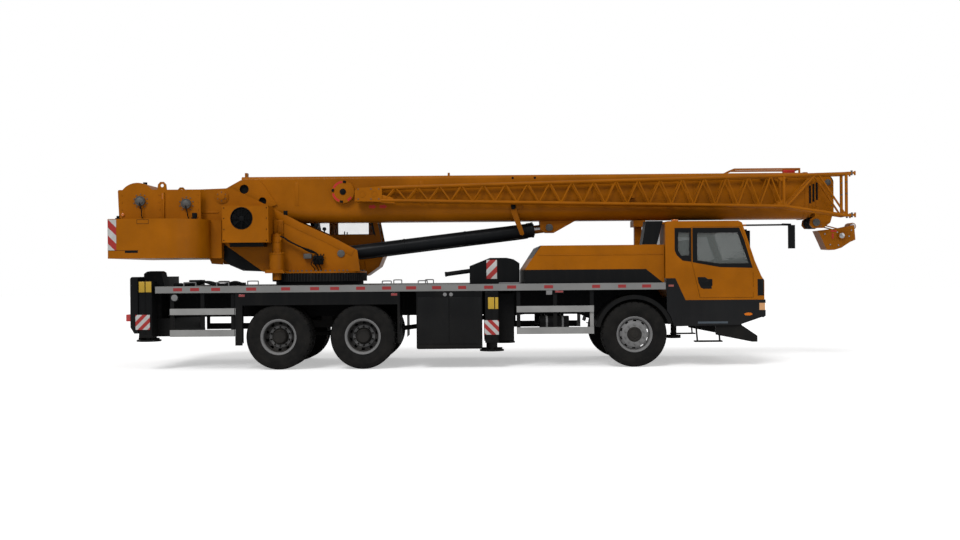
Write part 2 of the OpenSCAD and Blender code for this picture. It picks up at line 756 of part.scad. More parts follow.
module axles() {
    color(dark) {
        for (x = [axle_mid_x, axle_rear_x]) {
            rod_y(x, tyre_r, 85, -twin_mid_y + 61, twin_mid_y - 61);
            rod_y(x, tyre_r, spindle_r, -wheel_mid_y - 19, wheel_mid_y + 19);
            translate([x, 0, tyre_r]) rotate([0, 90, 0]) rotate_extrude()
                polygon([[0, -160], [110, -160], [190, -70], [190, 70], [110, 160], [0, 160]]);
            both_sides() block(x - 80, x + 80, frame_in_y + 15, frame_half_w - 15, tyre_r + 60, 640);
        }
        // Leaf packs of the rear bogie, seated on both axles
        both_sides() for (i = [0 : 7])
            block(axle_rear_x - 120 + i * 75, axle_mid_x + 120 - i * 75, frame_in_y + 15, frame_half_w - 15,
                  639 + i * 15, 655 + i * 15);
        both_sides() block((axle_mid_x + axle_rear_x) / 2 - 90, (axle_mid_x + axle_rear_x) / 2 + 90,
                           frame_in_y + 5, frame_half_w - 5, 750, frame_low_z - seat);
        // Front beam and its springs
        difference() {
            union() {
                bar([axle_front_x, -kingpin_y, tyre_r], [axle_front_x, -620, 450], 32);
                bar([axle_front_x, 620, 450], [axle_front_x, kingpin_y, tyre_r], 32);
                rod_y(axle_front_x, 450, 50, -640, 640);
                both_sides() rod_z(axle_front_x, kingpin_y, eye_r, tyre_r - eye_h / 2, tyre_r + eye_h / 2);
                both_sides() block(axle_front_x - 70, axle_front_x + 70, frame_in_y + 15, frame_half_w - 15, 470, 580);
            }
            both_sides() rod_z(axle_front_x, kingpin_y, kingpin_r + fit, 300, 800);
        }
        both_sides() for (i = [0 : 4])
            block(axle_front_x - 620 + i * 110, axle_front_x + 620 - i * 110, frame_in_y + 15, frame_half_w - 15,
                  frame_nose_z - seat - 15 - i * 15, frame_nose_z - seat - i * 15);
        // Propeller shafts
        bar([axle_mid_x, 0, tyre_r], [shaft_x1, 0, shaft_z(shaft_x1)], 40);
        rod_x(0, tyre_r, 40, axle_rear_x, axle_mid_x);
    }
}

module knuckle() {
    arm_in = eye_h / 2 + knuckle_gap;
    color(dark) translate([axle_front_x, 0, tyre_r]) {
        rod_z(0, kingpin_y, kingpin_r, -arm_in - 40, arm_in + 40);
        for (s = [-1, 1]) translate([0, kingpin_y, s * (arm_in + 18)]) cylinder(r = 44, h = 36, center = true);
        difference() {
            block(-46, 46, kingpin_y, wheel_mid_y - 62, -arm_in - 36, arm_in + 36);
            rod_z(0, kingpin_y, eye_r + 3, -arm_in, arm_in);
        }
        rod_y(0, 0, spindle_r, wheel_mid_y - 63, wheel_mid_y + 58);
        // Steering arm
        bar([0, kingpin_y + 20, -arm_in - 17], [-230, kingpin_y - 60, -arm_in - 17], 14);
    }
}

module knuckle_left() { knuckle(); }
module knuckle_right() { mirror([0, 1, 0]) knuckle(); }

module deck_covers() {
    color(black) {
        // Rear cover above the beams, between the two jacks
        cover_x0 = box_rear_x0 + 1 + seat;
        side_plate([[cover_x0, rear_beam_z + box_half_h + seat], [cover_x0, 1555], [cover_x0 + 50, 1592],
                    [cover_x0 + 110, 1600], [-5440, 1600], [-5400, 1575], [-5350, deck_z + seat],
                    [deck_rear_x - seat, deck_z + seat], [deck_rear_x - seat, rear_beam_z + box_half_h + seat]],
                   -900, -600);
        // Front cover on the deck, with a pipe that points to the rear
        side_plate([[-371, deck_z + seat], [-371, 1640], [-43, 1770], [230, 1770], [341, 1745], [437, 1680],
                    [437, deck_z + seat]], -1050, 1050);
        bar([-365, -900, 1562], [-775, -900, 1508], 36);
    }
}

module slew_ring() {
    root_r = ring_r - 24;
    step = 360 / ring_teeth;
    color(dark) translate([slew_x, 0, ring_top_z - ring_h + seat]) difference() {
        linear_extrude(ring_h - 2 * seat) polygon([
            for (i = [0 : ring_teeth - 1], k = [0 : 3])
                let (a = (i + [0, 0.18, 0.5, 0.68][k]) * step, r = [root_r, ring_r, ring_r, root_r][k])
                    r * [cos(a), sin(a)]
        ]);
        translate([0, 0, -1]) cylinder(r = ring_r - 130, h = ring_h + 2);
    }
}

// Outriggers

// Each end of the vehicle: middle of its beams, lower and upper end of its columns, underside of its floats
rear_end = [rear_beam_z, rear_float_z + 65, 1440, rear_float_z];
front_end = [front_beam_z, front_float_z + 138, frame_top_z - 10, front_float_z];

module outrigger_beam(x, z) {
    y0 = -box_end_y + box_wall + 40;
    low_z = z[0] - beam_h / 2;
    top_z = z[0] + beam_h / 2;
    color(paint) difference() {
        union() {
            block(x - beam_w / 2, x + beam_w / 2, y0, jack_y, low_z, top_z);
            block(x - column_half, x + column_half, column_in_y, column_out_y, z[1], z[2]);
            // Pads on top of the inner end
            block(x - 70, x + 70, y0, y0 + 100, top_z - 1, top_z + beam_gap - seat);
        }
        block(x - beam_w / 2 + box_wall, x + beam_w / 2 - box_wall, y0 - 1, column_in_y,
              low_z + box_wall, top_z - box_wall);
        rod_z(x, jack_y, jack_rod_r + fit, z[1] - 1, z[2] - 20);
    }
}

module jack(x, z) {
    color(steel) {
        rod_z(x, jack_y, jack_rod_r, z[3] + 20, z[2] - 40);
        rod_z(x, jack_y, 90, z[3] + 25, z[1] - 4);
        rod_z(x, jack_y, float_r, z[3], z[3] + 26);
    }
}

module rear_beam_left() { outrigger_beam(rear_left_x, rear_end); }
module rear_beam_right() { mirror([0, 1, 0]) outrigger_beam(rear_right_x, rear_end); }
module front_beam_left() { outrigger_beam(front_left_x, front_end); }
module front_beam_right() { mirror([0, 1, 0]) outrigger_beam(front_right_x, front_end); }
module rear_jack_left() { jack(rear_left_x, rear_end); }
module rear_jack_right() { mirror([0, 1, 0]) jack(rear_right_x, rear_end); }
module front_jack_left() { jack(front_left_x, front_end); }
module front_jack_right() { mirror([0, 1, 0]) jack(front_right_x, front_end); }

module nose_jack() {
    color(steel) {
        rod_z(nose_jack_x, 0, jack_rod_r, 440, frame_nose_z + 260);
        rod_z(nose_jack_x, 0, 120, 390, 441);
    }
}

// Superstructure

base_plate_t = 27;
base_z = ring_top_z + base_plate_t;
turn_rear_x = -4879;
turn_outline = [
    [turn_rear_x, weight_low_z], [turn_rear_x, 2959], [-4345, 2976], [-3733, 2680], [-3209, 2401], [-2691, 2161],
    [-2250, 1924], [-2207, base_z - 1], [-3820, base_z - 1], [-4405, 1996], [-4478, 2050], [-4490, 1700],
    [-4680, 1715], [-4720, weight_low_z]
];

module turntable() {
    lug_y = 170;
    color(paint) difference() {
        union() {
            rod_z(slew_x, 0, ring_r - 6, ring_top_z, base_z);
            both_sides() side_plate(turn_outline, turn_half_w - turn_plate_t, turn_half_w);
            // Box that ties the plates together
            block(-4860, -4500, -turn_half_w + 1, turn_half_w - 1, weight_low_z + 20, 2320);
            block(-3720, -3680, -turn_half_w + 1, turn_half_w - 1, base_z - 1, 2250);
            both_sides() side_plate([[luff_low_x - 260, base_z - 1], [luff_low_x - 90, luff_low_z + 90],
                [luff_low_x + 90, luff_low_z + 90], [luff_low_x + 240, base_z - 1]], lug_y - 40, lug_y);
            // Foot bosses
            both_sides() rod_y(foot_x, foot_z, 110, turn_half_w - turn_plate_t - 20, turn_half_w + 20);
            rod_y(luff_low_x, luff_low_z, luff_pin_r, -lug_y - 20, lug_y + 20);
            rod_y(foot_x, foot_z, foot_pin_r, -turn_half_w - 40, turn_half_w + 40);
            // Ear and pinion case of the slewing drive
            block(drive_x - 170, drive_x + 150, drive_y - 140, -turn_half_w + 1, ring_top_z + 2, base_z);
            rod_z(drive_x, drive_y, 75, ring_top_z - 108, ring_top_z + 3);
            // Pads that carry the operator's cab
            for (x = [-3250, -2750]) block(x, x + 120, turn_half_w - 1, op_y0 - seat, 1700, 1760);
        }
        rod_z(slew_x, 0, 230, ring_top_z - 1, base_z + 1);
    }
}

drive_x = slew_x - 628;
drive_y = -616;

module slew_drive() {
    color(dark) {
        rod_z(drive_x, drive_y, 120, base_z + seat, 1874);
        rod_z(drive_x, drive_y, 75, 1873, 2191);
        block(drive_x - 160, drive_x + 130, drive_y - 130, drive_y + 60, base_z + seat, base_z + 30);
    }
}

module counterweight() {
    arm_in_y = turn_half_w + seat;
    color(paint) difference() {
        intersection() {
            translate([0, 0, weight_low_z]) linear_extrude(weight_top_z - weight_low_z) union() {
                r = weight_corner_r;
                y = half_w - 2;
                translate([weight_rear_x, -y]) square([weight_front_x - 180 - r - weight_rear_x, 2 * y]);
                for (s = [-1, 1]) translate([weight_front_x - 180 - r, s * (y - r)]) circle(r, $fn = 96);
                translate([weight_front_x - 181 - r, r - y]) square([r + 181, 2 * (y - r)]);
            }
            rod_z(slew_x, 0, slew_x - weight_rear_x + 190, weight_low_z - 1, weight_top_z + 1);
        }
        block(turn_rear_x - seat, weight_front_x + 1, -arm_in_y, arm_in_y, weight_low_z - 1, weight_top_z + 1);
    }
}

module winches() {
    y = winch_half_w;
    t = turn_plate_t;
    side = [[-6170, weight_top_z + seat], [-6190, 2930], [-6175, 2948], [-4820, 2948], [-4820, weight_top_z + seat]];
    drum_z = [2762, 2711];
    color(paint) {
        both_sides() side_plate(side, y - t, y);
        // Domed cover, and the plate between the two winches
        intersection() {
            rod_y(-5868, 2752, 314, -y + 1, y - 1);
            block(-6170, -5500, -y, y, 2934, 3100);
        }
        for (x = [-6165, -5480]) block(x, x + 25, -y + 1, y - 1, weight_top_z + seat, 2940);
        // Lifting eyes
        both_sides() difference() {
            side_plate([[-5540, 2900], [-5525, 3035], [-5485, 3078], [-5430, 3078], [-5390, 3035], [-5375, 2900]],
                       y - t, y);
            rod_y(-5457, 3017, 28, y - t - 1, y + 1);
        }
        rod_z(-5918, 0, 35, 3050, 3121);
    }
    color(dark) for (i = [0, 1]) {
        rod_y(winch_x[i], drum_z[i], 120, -y + t - 1, y - t + 1);
        for (s = [-1, 1]) rod_y(winch_x[i], drum_z[i], winch_flange_r, s * 340 - 10, s * 340 + 10);
        for (s = [-1, 1]) rod_y(winch_x[i], drum_z[i], 82, s * (y + 29) - 30, s * (y + 29) + 30);
    }
}

module oil_cooler() {
    y1 = -turn_half_w - seat;
    y0 = -900;
    color("gray") difference() {
        block(-4403, -3649, y0, y1, 2055, 2653);
        rod_y(-4087, 2450, 170, y0 - 1, y0 + 60);
    }
    color(dark) {
        block(-4300, -3750, y0 + 100, y1, 1990, 2056);
        // Oil tank between the side plates
        side_plate([[-4478, 1780], [-4478, 2140], [-3730, 2140], [-3730, base_z + seat], [-4160, base_z + 20],
                    [-4380, 1690]], -turn_half_w + turn_plate_t + seat, turn_half_w - turn_plate_t - seat);
    }
}

op_x0 = -3500;
op_x1 = -1881;
op_y0 = turn_half_w + 6;
op_y1 = half_w - 44;
op_door_t = 34;
op_low_z = 1585;
op_toe_x = -2250;
op_top_z = 3050;
op_wall = 35;
op_outline = [
    [op_x0, 1640], [op_x0, op_top_z - 60], [op_x0 + 60, op_top_z], [op_x1 - 290, op_top_z], [op_x1 - 230, op_top_z - 30],
    [op_x1, 1860], [op_x1 - 90, 1650], [op_x1 - 320, 1492], [op_toe_x, 1492], [op_toe_x - 40, op_low_z],
    [op_x0 + 300, op_low_z]
];
op_inside = [
    [op_x0 + 35, 1660], [op_x0 + 35, op_top_z - 75], [op_x0 + 75, op_top_z - 35], [op_x1 - 305, op_top_z - 35],
    [op_x1 - 260, op_top_z - 50], [op_x1 - 36, 1860], [op_x1 - 120, 1680], [op_x1 - 220, op_low_z + op_wall],
    [op_x0 + 310, op_low_z + op_wall]
];
op_side_window = [
    [op_x0 + 120, 1950], [op_x0 + 120, 2900], [op_x1 - 330, 2900], [op_x1 - 120, 1950]
];
op_door_x0 = -2870;
op_door_x1 = -2130;
op_doorway = [
    [op_door_x0 + 30, 1660], [op_door_x0 + 30, 2930], [op_door_x1 - 30, 2930], [op_door_x1 - 30, 1660]
];
op_door_window = [
    [op_door_x0 + 90, 2000], [op_door_x0 + 90, 2860], [op_door_x1 - 90, 2860], [op_door_x1 - 90, 2000]
];
op_rear_window = [
    [op_x0 + 90, 2000], [op_x0 + 90, 2860], [op_door_x0 - 60, 2860], [op_door_x0 - 60, 2000]
];
op_screen_tilt = atan2(230, op_top_z - 30 - 1860);

module on_op_screen() {
    translate([op_x1, 0, 1860]) rotate([0, -op_screen_tilt, 0]) children();
}

module operator_cab() {
    color(paint) difference() {
        side_plate(op_outline, op_y0, op_y1);
        side_plate(op_inside, op_y0 + op_wall, op_y1 - op_wall);
        side_plate(op_side_window, op_y0 - 1, op_y0 + op_wall + 1);
        side_plate(op_doorway, op_y1 - op_wall - 1, op_y1 + 1);
        side_plate(op_rear_window, op_y1 - op_wall - 1, op_y1 + 1);
        on_op_screen() block(-90, 60, op_y0 + 50, op_y1 - 50, 60, 1120);
    }
    // Rails of the sliding door
    color(dark) for (z = [1600, 2964]) block(op_x0 + 20, op_door_x1 - 10, op_y1 - 1, op_y1 + op_door_t + 4, z, z + 20);
}

module operator_glass() {
    color("lightblue") {
        side_plate(op_side_window, op_y0 + 12, op_y0 + 20);
        side_plate(op_rear_window, op_y1 - 24, op_y1 - 16);
        on_op_screen() block(-26, -18, op_y0 + 50, op_y1 - 50, 60, 1120);
    }
}

module operator_seat() {
    mid = (op_y0 + op_y1) / 2;
    color(dark) {
        seat_shape(-2900, mid, 1950);
        block(-3050, -2750, mid - 120, mid + 120, op_low_z + op_wall + seat, 1701);
        for (s = [-1, 1]) {
            block(-2650, -2560, mid + s * 200 - 40, mid + s * 200 + 40, op_low_z + op_wall + seat, 2050);
            bar([-2605, mid + s * 200, 2049], [-2590, mid + s * 200, 2280], 10);
        }
    }
}

module operator_door() {
    color(paint) difference() {
        side_plate([[op_door_x0, 1630], [op_door_x0, 2955], [op_door_x1, 2955], [op_door_x1, 1630]],
                   op_y1 + seat, op_y1 + op_door_t);
        side_plate(op_door_window, op_y1, op_y1 + op_door_t + 1);
    }
}

module operator_door_glass() {
    color("lightblue") side_plate(op_door_window, op_y1 + 12, op_y1 + 20);
}

// Boom

inner_step = 2 * (boom_t + section_gap);

module section_2d(w, h, rt, rb) {
    for (s = [-1, 1]) {
        translate([s * (w / 2 - rt), h - rt]) circle(rt);
        translate([s * (w / 2 - rb), rb]) circle(rb);
    }
    translate([-w / 2, rb]) square([w, h - rb - rt]);
    translate([-w / 2 + rb, 0]) square([w - 2 * rb, rb + 1]);
    translate([-w / 2 + rt, h - rt - 1]) square([w - 2 * rt, rt + 1]);
}

module tube_2d(w, h, rt, rb, t) {
    difference() {
        section_2d(w, h, rt, rb);
        translate([0, t]) section_2d(w - 2 * t, h - 2 * t, rt - t, rb - t);
    }
}

module along_x(x0, x1, z) {
    translate([x0, 0, z]) rotate([90, 0, 90]) linear_extrude(x1 - x0) children();
}

function sec_w(n) = boom_w - inner_step * n;
function sec_h(n) = boom_h - inner_step * n;
function sec_z(n) = boom_low_z + inner_step / 2 * n;
function sec_rt(n) = 60 - 8 * n;
function sec_rb(n) = 210 - 22 * n;

// Section n runs from x0 to its own collar; pads at its tail slide in the next larger section
module section(n, x0) {
    w = sec_w(n);
    h = sec_h(n);
    front = boom_front_x + collar_pitch * n;
    pad = section_gap - seat;
    along_x(x0, front, sec_z(n)) tube_2d(w, h, sec_rt(n), sec_rb(n), boom_t);
    // Collar, larger than the section itself
    along_x(front - collar_l, front, sec_z(n)) difference() {
        translate([0, -9]) section_2d(w + 18, h + 18, sec_rt(n) + 9, sec_rb(n) + 9);
        translate([0, boom_t]) section_2d(w - 2 * boom_t, h - 2 * boom_t, sec_rt(n) - boom_t, sec_rb(n) - boom_t);
    }
    if (n > 0) {
        for (s = [-1, 1]) {
            block(x0, x0 + 200, s * (w + pad - 1) / 2 - (pad + 1) / 2, s * (w + pad - 1) / 2 + (pad + 1) / 2,
                  sec_z(n) + h - 200, sec_z(n) + h - 80);
            block(x0, x0 + 200, s * 110 - 50, s * 110 + 50, sec_z(n) + h - 1, sec_z(n) + h + pad);
        }
    }
    // Pads in the mouth that carry the next section
    if (n < 3) block(front - 150, front - 20, -70, 70, sec_z(n) + boom_t - 1, sec_z(n) + boom_t + pad);
}

// Bent bar frame above the boom's nose, with a cross bar at each end
module top_frame() {
    z0 = boom_low_z + boom_h;
    z1 = z0 + top_frame_h;
    rise = top_frame_h * 2.1;
    t = top_frame_t;
    both_sides() side_plate([[top_frame_x0, z0 - 1], [top_frame_x0 + rise, z1], [top_frame_x1, z1],
        [top_frame_x1, z0 - 1], [top_frame_x1 - t, z0 - 1], [top_frame_x1 - t, z1 - t],
        [top_frame_x0 + rise + 8, z1 - t], [top_frame_x0 + 2.2 * t, z0 - 1]], 170, 170 + t);
    for (x = [top_frame_x0 + rise, top_frame_x1 - t]) block(x, x + t, -171, 171, z1 - t, z1);
}

module boom_base() {
    eye_y = turn_half_w - turn_plate_t - 20 - 4;
    color(paint) difference() {
        union() {
            section(0, foot_x + 300);
            // Foot: two cheeks that carry the bushing
            both_sides() side_plate([[foot_x - 95, foot_z + 60], [foot_x + 8, 2958], [foot_x + 290, 3174 - 60],
                [foot_x + 620, 3110], [foot_x + 900, boom_low_z + 300], [foot_x + 420, boom_low_z + 120],
                [foot_x - 60, foot_z - 90]], boom_w / 2 - 1, boom_w / 2 + 30);
            rod_y(foot_x, foot_z, 115, -eye_y, eye_y);
            // Bracket of the luffing cylinder
            both_sides() side_plate([[luff_high_x - 165, boom_low_z + 60], [luff_high_x - 150, luff_high_z - 30],
                [luff_high_x - 60, luff_high_z - 85], [luff_high_x + 90, luff_high_z - 85],
                [luff_high_x + 560, boom_low_z + 60]], 108, 140);
            both_sides() rod_y(luff_high_x, luff_high_z, luff_pin_r, 107, 160);
            top_frame();
            block(guide_x - 18, guide_x + 18, -50, 50, boom_low_z + boom_h - 1, boom_low_z + boom_h + guide_h);
            block(-4200, -4160, -60, 60, 3060, boom_low_z + boom_h + 88);
            rod_y(reel_x, reel_z, reel_r, -boom_w / 2 - reel_w, -boom_w / 2 + 1);
        }
        rod_y(foot_x, foot_z, foot_pin_r + fit, -eye_y - 1, eye_y + 1);
        along_x(foot_x + 312, boom_front_x + 1, boom_low_z + boom_t)
            section_2d(boom_w - 2 * boom_t, boom_h - 2 * boom_t, sec_rt(0) - boom_t, sec_rb(0) - boom_t);
        block(luff_high_x - 200, luff_high_x + 600, -107, 107, boom_low_z - 300, boom_low_z);
        // Openings in the sides near the foot
        rod_y(-4151, 2964, 78, -boom_w / 2 - 31, boom_w / 2 + 31);
        rod_y(-3844, 2760, 66, -boom_w / 2 - 31, boom_w / 2 + 31);
    }
}

module boom_section_2() { color(paint) section(1, foot_x + 620); }
module boom_section_3() { color(paint) section(2, foot_x + 840); }

head_x0 = boom_front_x + 3 * collar_pitch - 2;
head_x1 = 5778;
sheave_x = 5480;
sheave_z = 2335;
sheave_r = 100;
top_sheave_x = 5680;
top_sheave_z = 3010;

module boom_section_4() {
    color(paint) difference() {
        union() {
            section(3, foot_x + 1060);
            both_sides() side_plate([[head_x0 - 60, 2500], [head_x0 - 60, 3100], [head_x0 + 20, 3166],
                [head_x1 - 90, 3166], [head_x1, 3000], [head_x1, 2520], [5720, 2330], [5600, 2240], [5420, 2240],
                [5370, 2300], [5385, 2388], [head_x0 - 60, 2436]], 225, 250);
        }
        rod_y(sheave_x, sheave_z, 40 + fit, -260, 260);
        rod_y(top_sheave_x, top_sheave_z, 30 + fit, -260, 260);
    }
}

module sheave(x, y, z, r, bore) {
    translate([x, y, z]) rotate([90, 0, 0]) rotate_extrude() polygon([
        [bore, -25], [60, -25], [60, -10], [r - 30, -10], [r, -22], [r, -14], [r - 20, 0], [r, 14], [r, 22],
        [r - 30, 10], [60, 10], [60, 25], [bore, 25]
    ]);
}

module head_sheaves() {
    color(dark) {
        for (y = [-150, -50, 50, 150]) sheave(sheave_x, y, sheave_z, sheave_r, 40 + fit);
        rod_y(sheave_x, sheave_z, 40, -262, 262);
        for (y = [-100, 100]) sheave(top_sheave_x, y, top_sheave_z, 140, 30 + fit);
        rod_y(top_sheave_x, top_sheave_z, 30, -262, 262);
    }
}

jib_tail_x = -1810;
jib_nose_x = 4830;
jib_tip_x = 5850;

function jib_top(x) = 2946 + (x - jib_tail_x) * (3095 - 2946) / (jib_nose_x - jib_tail_x);
function jib_low(x) = 2740 + (x - jib_tail_x) * (2590 - 2740) / (jib_nose_x - jib_tail_x);

module jib() {
    lace_x0 = jib_tail_x + 37;
    pitch = (jib_nose_x - 41 - lace_x0) / jib_bays;
    color(paint) {
        side_plate([[-2259, 2722], [-2259, 2900], [-2200, 2946], [jib_tail_x, 2970], [jib_tail_x, 2715],
                    [-2200, 2722]], jib_y - jib_half_w - 20, jib_y + jib_half_w + 20);
        for (s = [-1, 1]) {
            y = jib_y + s * jib_half_w;
            bar([jib_tail_x - 20, y, jib_top(jib_tail_x)], [jib_nose_x, y, jib_top(jib_nose_x)], chord_r, 12);
            bar([jib_tail_x - 20, y, jib_low(jib_tail_x)], [jib_nose_x, y, jib_low(jib_nose_x)], chord_r, 12);
            for (i = [0 : jib_bays - 1]) {
                xa = lace_x0 + i * pitch;
                bar([xa, y, jib_low(xa)], [xa + pitch / 2, y, jib_top(xa + pitch / 2)], lace_r, 6);
                bar([xa + pitch / 2, y, jib_top(xa + pitch / 2)], [xa + pitch, y, jib_low(xa + pitch)], lace_r, 6);
            }
            bar([jib_nose_x - 8, y, jib_low(jib_nose_x)], [jib_nose_x - 8, y, jib_top(jib_nose_x)], chord_r - 3, 12);
            bar([jib_nose_x, y, jib_top(jib_nose_x)], [jib_tip_x, y, 3120], chord_r, 12);
            bar([jib_nose_x, y, jib_low(jib_nose_x)], [jib_tip_x, y, 2430], chord_r, 12);
            bar([jib_tip_x, y, 2410], [jib_tip_x, y, 3140], chord_r, 12);
            bar([jib_nose_x + 40, y, jib_low(jib_nose_x)], [5340, y, 3100], lace_r + 4, 12);
            bar([5400, y, 3100], [jib_tip_x - 20, y, 2446], lace_r + 4, 12);
            for (z = [2418, 3112]) block(jib_tip_x, jib_tip_x + 150, y - 12, y + 12, z, z + 36);
        }
        for (i = [0 : 3 : jib_bays], z = [0, 1]) {
            xa = lace_x0 + i * pitch;
            zz = z == 0 ? jib_low(xa) : jib_top(xa);
            bar([xa, jib_y - jib_half_w, zz], [xa, jib_y + jib_half_w, zz], lace_r - 2, 12);
        }
        for (z = [2430, 3110])
            bar([jib_tip_x, jib_y - jib_half_w, z], [jib_tip_x, jib_y + jib_half_w, z], chord_r - 5, 12);
        // Brackets that hang the stowed jib on the base section
        for (x = [jib_tail_x - 200, 2300])
            block(x, x + 90, jib_y + jib_half_w - 30, -boom_w / 2 - seat, 2760, 2820);
    }
}

module hook_block() {
    color(paint) {
        side_plate([[5537, 2200], [5680, 1880], [5810, 1870], [5930, 1905], [6075, 2000], [6170, 2040],
                    [6150, 2290], [5920, 2240]], -165, 165);
        rod_y(5930, 2110, 60, -200, 200);
        rod_y(6136, 2270, 60, -120, 120);
        // Rope parts up to the lower head sheaves, ending in their grooves
        for (s = [-1, 1])
            let (a = [5880, s * 150, 2225], c = [sheave_x, s * 150, sheave_z], d = (a - c) / norm(a - c))
                bar(a, c + d * (sheave_r - 5.4), 10);
    }
}

// Luffing cylinder, drawn along X from its lower pin and then turned

luff_angle = atan2(luff_high_z - luff_low_z, luff_high_x - luff_low_x);
luff_len = norm([luff_high_x - luff_low_x, luff_high_z - luff_low_z]);

module on_luff() {
    translate([luff_low_x, 0, luff_low_z]) rotate([0, -luff_angle, 0]) children();
}

module luff_barrel() {
    color(paint) on_luff() difference() {
        union() {
            rod_x(0, 0, barrel_r, 60, barrel_l);
            rod_x(0, 0, barrel_r + 8, barrel_l - 110, barrel_l);
            rod_y(0, 0, 95, -128, 128);
        }
        rod_y(0, 0, luff_pin_r + fit, -129, 129);
        rod_x(0, 0, luff_rod_r + fit, 150, barrel_l + 1);
    }
}

module luff_rod() {
    color(steel) on_luff() difference() {
        union() {
            rod_x(0, 0, luff_rod_r, 200, luff_len - 50);
            rod_y(luff_len, 0, 80, -100, 100);
        }
        rod_y(luff_len, 0, luff_pin_r + 2, -101, 101);
    }
}

chassis_frame();
deck();
cab_shell();
carrier_glass();
cab_interior();
bumper();
lamps();
engine_hood();
engine();
tanks();
guards();
axles();
deck_covers();
slew_ring();
cab_door_right();
door_glass_right();
cab_door_left();
door_glass_left();
knuckle_right();
knuckle_left();
front_tyre_right();
front_rim_right();
front_tyre_left();
front_rim_left();
mid_tyres_right();
mid_rims_right();
mid_tyres_left();
mid_rims_left();
rear_tyres_right();
rear_rims_right();
rear_tyres_left();
rear_rims_left();
rear_beam_right();
rear_beam_left();
front_beam_right();
front_beam_left();
rear_jack_right();
rear_jack_left();
front_jack_right();
front_jack_left();
nose_jack();
turntable();
slew_drive();
counterweight();
winches();
oil_cooler();
operator_cab();
operator_glass();
operator_seat();
operator_door();
operator_door_glass();
boom_base();
boom_section_2();
boom_section_3();
boom_section_4();
head_sheaves();
jib();
hook_block();
luff_barrel();
luff_rod();
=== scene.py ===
"""Looks and fine detail of a three-axle truck crane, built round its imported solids. Metres throughout."""

import math
import random

import bmesh
import bpy
from mathutils import Matrix, Vector


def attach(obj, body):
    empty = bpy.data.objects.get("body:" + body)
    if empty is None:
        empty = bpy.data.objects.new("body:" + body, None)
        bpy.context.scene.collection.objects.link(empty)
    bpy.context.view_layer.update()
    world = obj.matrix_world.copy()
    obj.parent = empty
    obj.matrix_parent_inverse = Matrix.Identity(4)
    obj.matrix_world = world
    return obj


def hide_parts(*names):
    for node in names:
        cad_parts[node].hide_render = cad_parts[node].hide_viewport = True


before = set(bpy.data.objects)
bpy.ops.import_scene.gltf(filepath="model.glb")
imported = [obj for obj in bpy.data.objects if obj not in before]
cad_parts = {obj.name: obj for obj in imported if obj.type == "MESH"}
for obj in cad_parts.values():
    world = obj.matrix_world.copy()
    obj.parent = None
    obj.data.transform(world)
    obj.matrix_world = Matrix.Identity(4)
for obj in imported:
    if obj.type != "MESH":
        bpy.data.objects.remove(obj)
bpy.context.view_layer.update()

HALF_W = 1.25
DECK_Z = 1.35
RAIL_LOW_Z = 1.242
TYRE_R = 0.525
TYRE_W = 0.275
WHEEL_MID_Y = HALF_W - 0.010 - TYRE_W / 2
TWIN_MID_Y = WHEEL_MID_Y - TYRE_W - 0.040
AXLE_X = {"front": 2.265, "mid": -2.090, "rear": -3.440}
BEAM_X = {"rear_right": -5.565, "rear_left": -5.320, "front_right": -0.020, "front_left": 0.225}
SIDES = {"right": -1, "left": 1}
JACK_Y = 1.047
SLEW_X = -2.940
WINCHES = ((-5.813, 2.762), (-5.054, 2.711))
FAN = (-4.087, 2.450)
BARREL_FOOT = (-2.544, 1.874)
ROD_EYE = (0.978, 2.288)
REEL = (-2.488, 2.905)
JIB_TRUSSES = (-0.690, -0.430)

random.seed(7)


def turned(spot, degrees, axis):
    """A place whose local axes are turned about one of the vehicle's."""
    return Matrix.Translation(spot) @ Matrix.Rotation(math.radians(degrees), 4, axis)


# Camera and lamps


def photo_camera():
    """A level camera at the photographer's place, with the slight roll of the picture."""
    data = bpy.data.cameras.new("photo_camera")
    data.sensor_width = 36.0
    data.lens = 42.19
    data.shift_y = 0.002
    data.clip_end = 200.0
    camera = bpy.data.objects.new("photo_camera", data)
    bpy.context.collection.objects.link(camera)
    level = Matrix.Rotation(math.radians(90), 4, "X")
    camera.matrix_world = turned((-0.203, -19.25, 1.544), 0.46, "Y") @ level
    bpy.context.scene.camera = camera


def lamp(name, kind, place, target, **settings):
    data = bpy.data.lights.new(name, kind)
    for key, value in settings.items():
        setattr(data, key, value)
    thing = bpy.data.objects.new(name, data)
    bpy.context.collection.objects.link(thing)
    thing.location = place
    thing.rotation_euler = (Vector(target) - Vector(place)).to_track_quat("-Z", "Y").to_euler()


# Shader wiring


class Wire:
    """One socket of a finish, which takes part in sums and products."""

    def __init__(self, finish, socket):
        self.finish = finish
        self.socket = socket

    def _maths(self, operation, *values):
        return self.finish.node("ShaderNodeMath", {"operation": operation}, dict(enumerate(values)))

    def __add__(self, other):
        return self._maths("ADD", self, other)

    def __sub__(self, other):
        return self._maths("SUBTRACT", self, other)

    def __rsub__(self, other):
        return self._maths("SUBTRACT", other, self)

    def __mul__(self, other):
        return self._maths("MULTIPLY", self, other)

    def __truediv__(self, other):
        return self._maths("DIVIDE", self, other)

    def __lt__(self, other):
        return self._maths("LESS_THAN", self, other)

    def __gt__(self, other):
        return self._maths("GREATER_THAN", self, other)

    def __mod__(self, other):
        return self._maths("FLOORED_MODULO", self, other)

    def __abs__(self):
        return self._maths("ABSOLUTE", self)

    def floor(self):
        return self._maths("FLOOR", self)

    def either(self, other):
        return self._maths("MAXIMUM", self, other)

    def within(self, low, high):
        return (self > low) * (self < high)


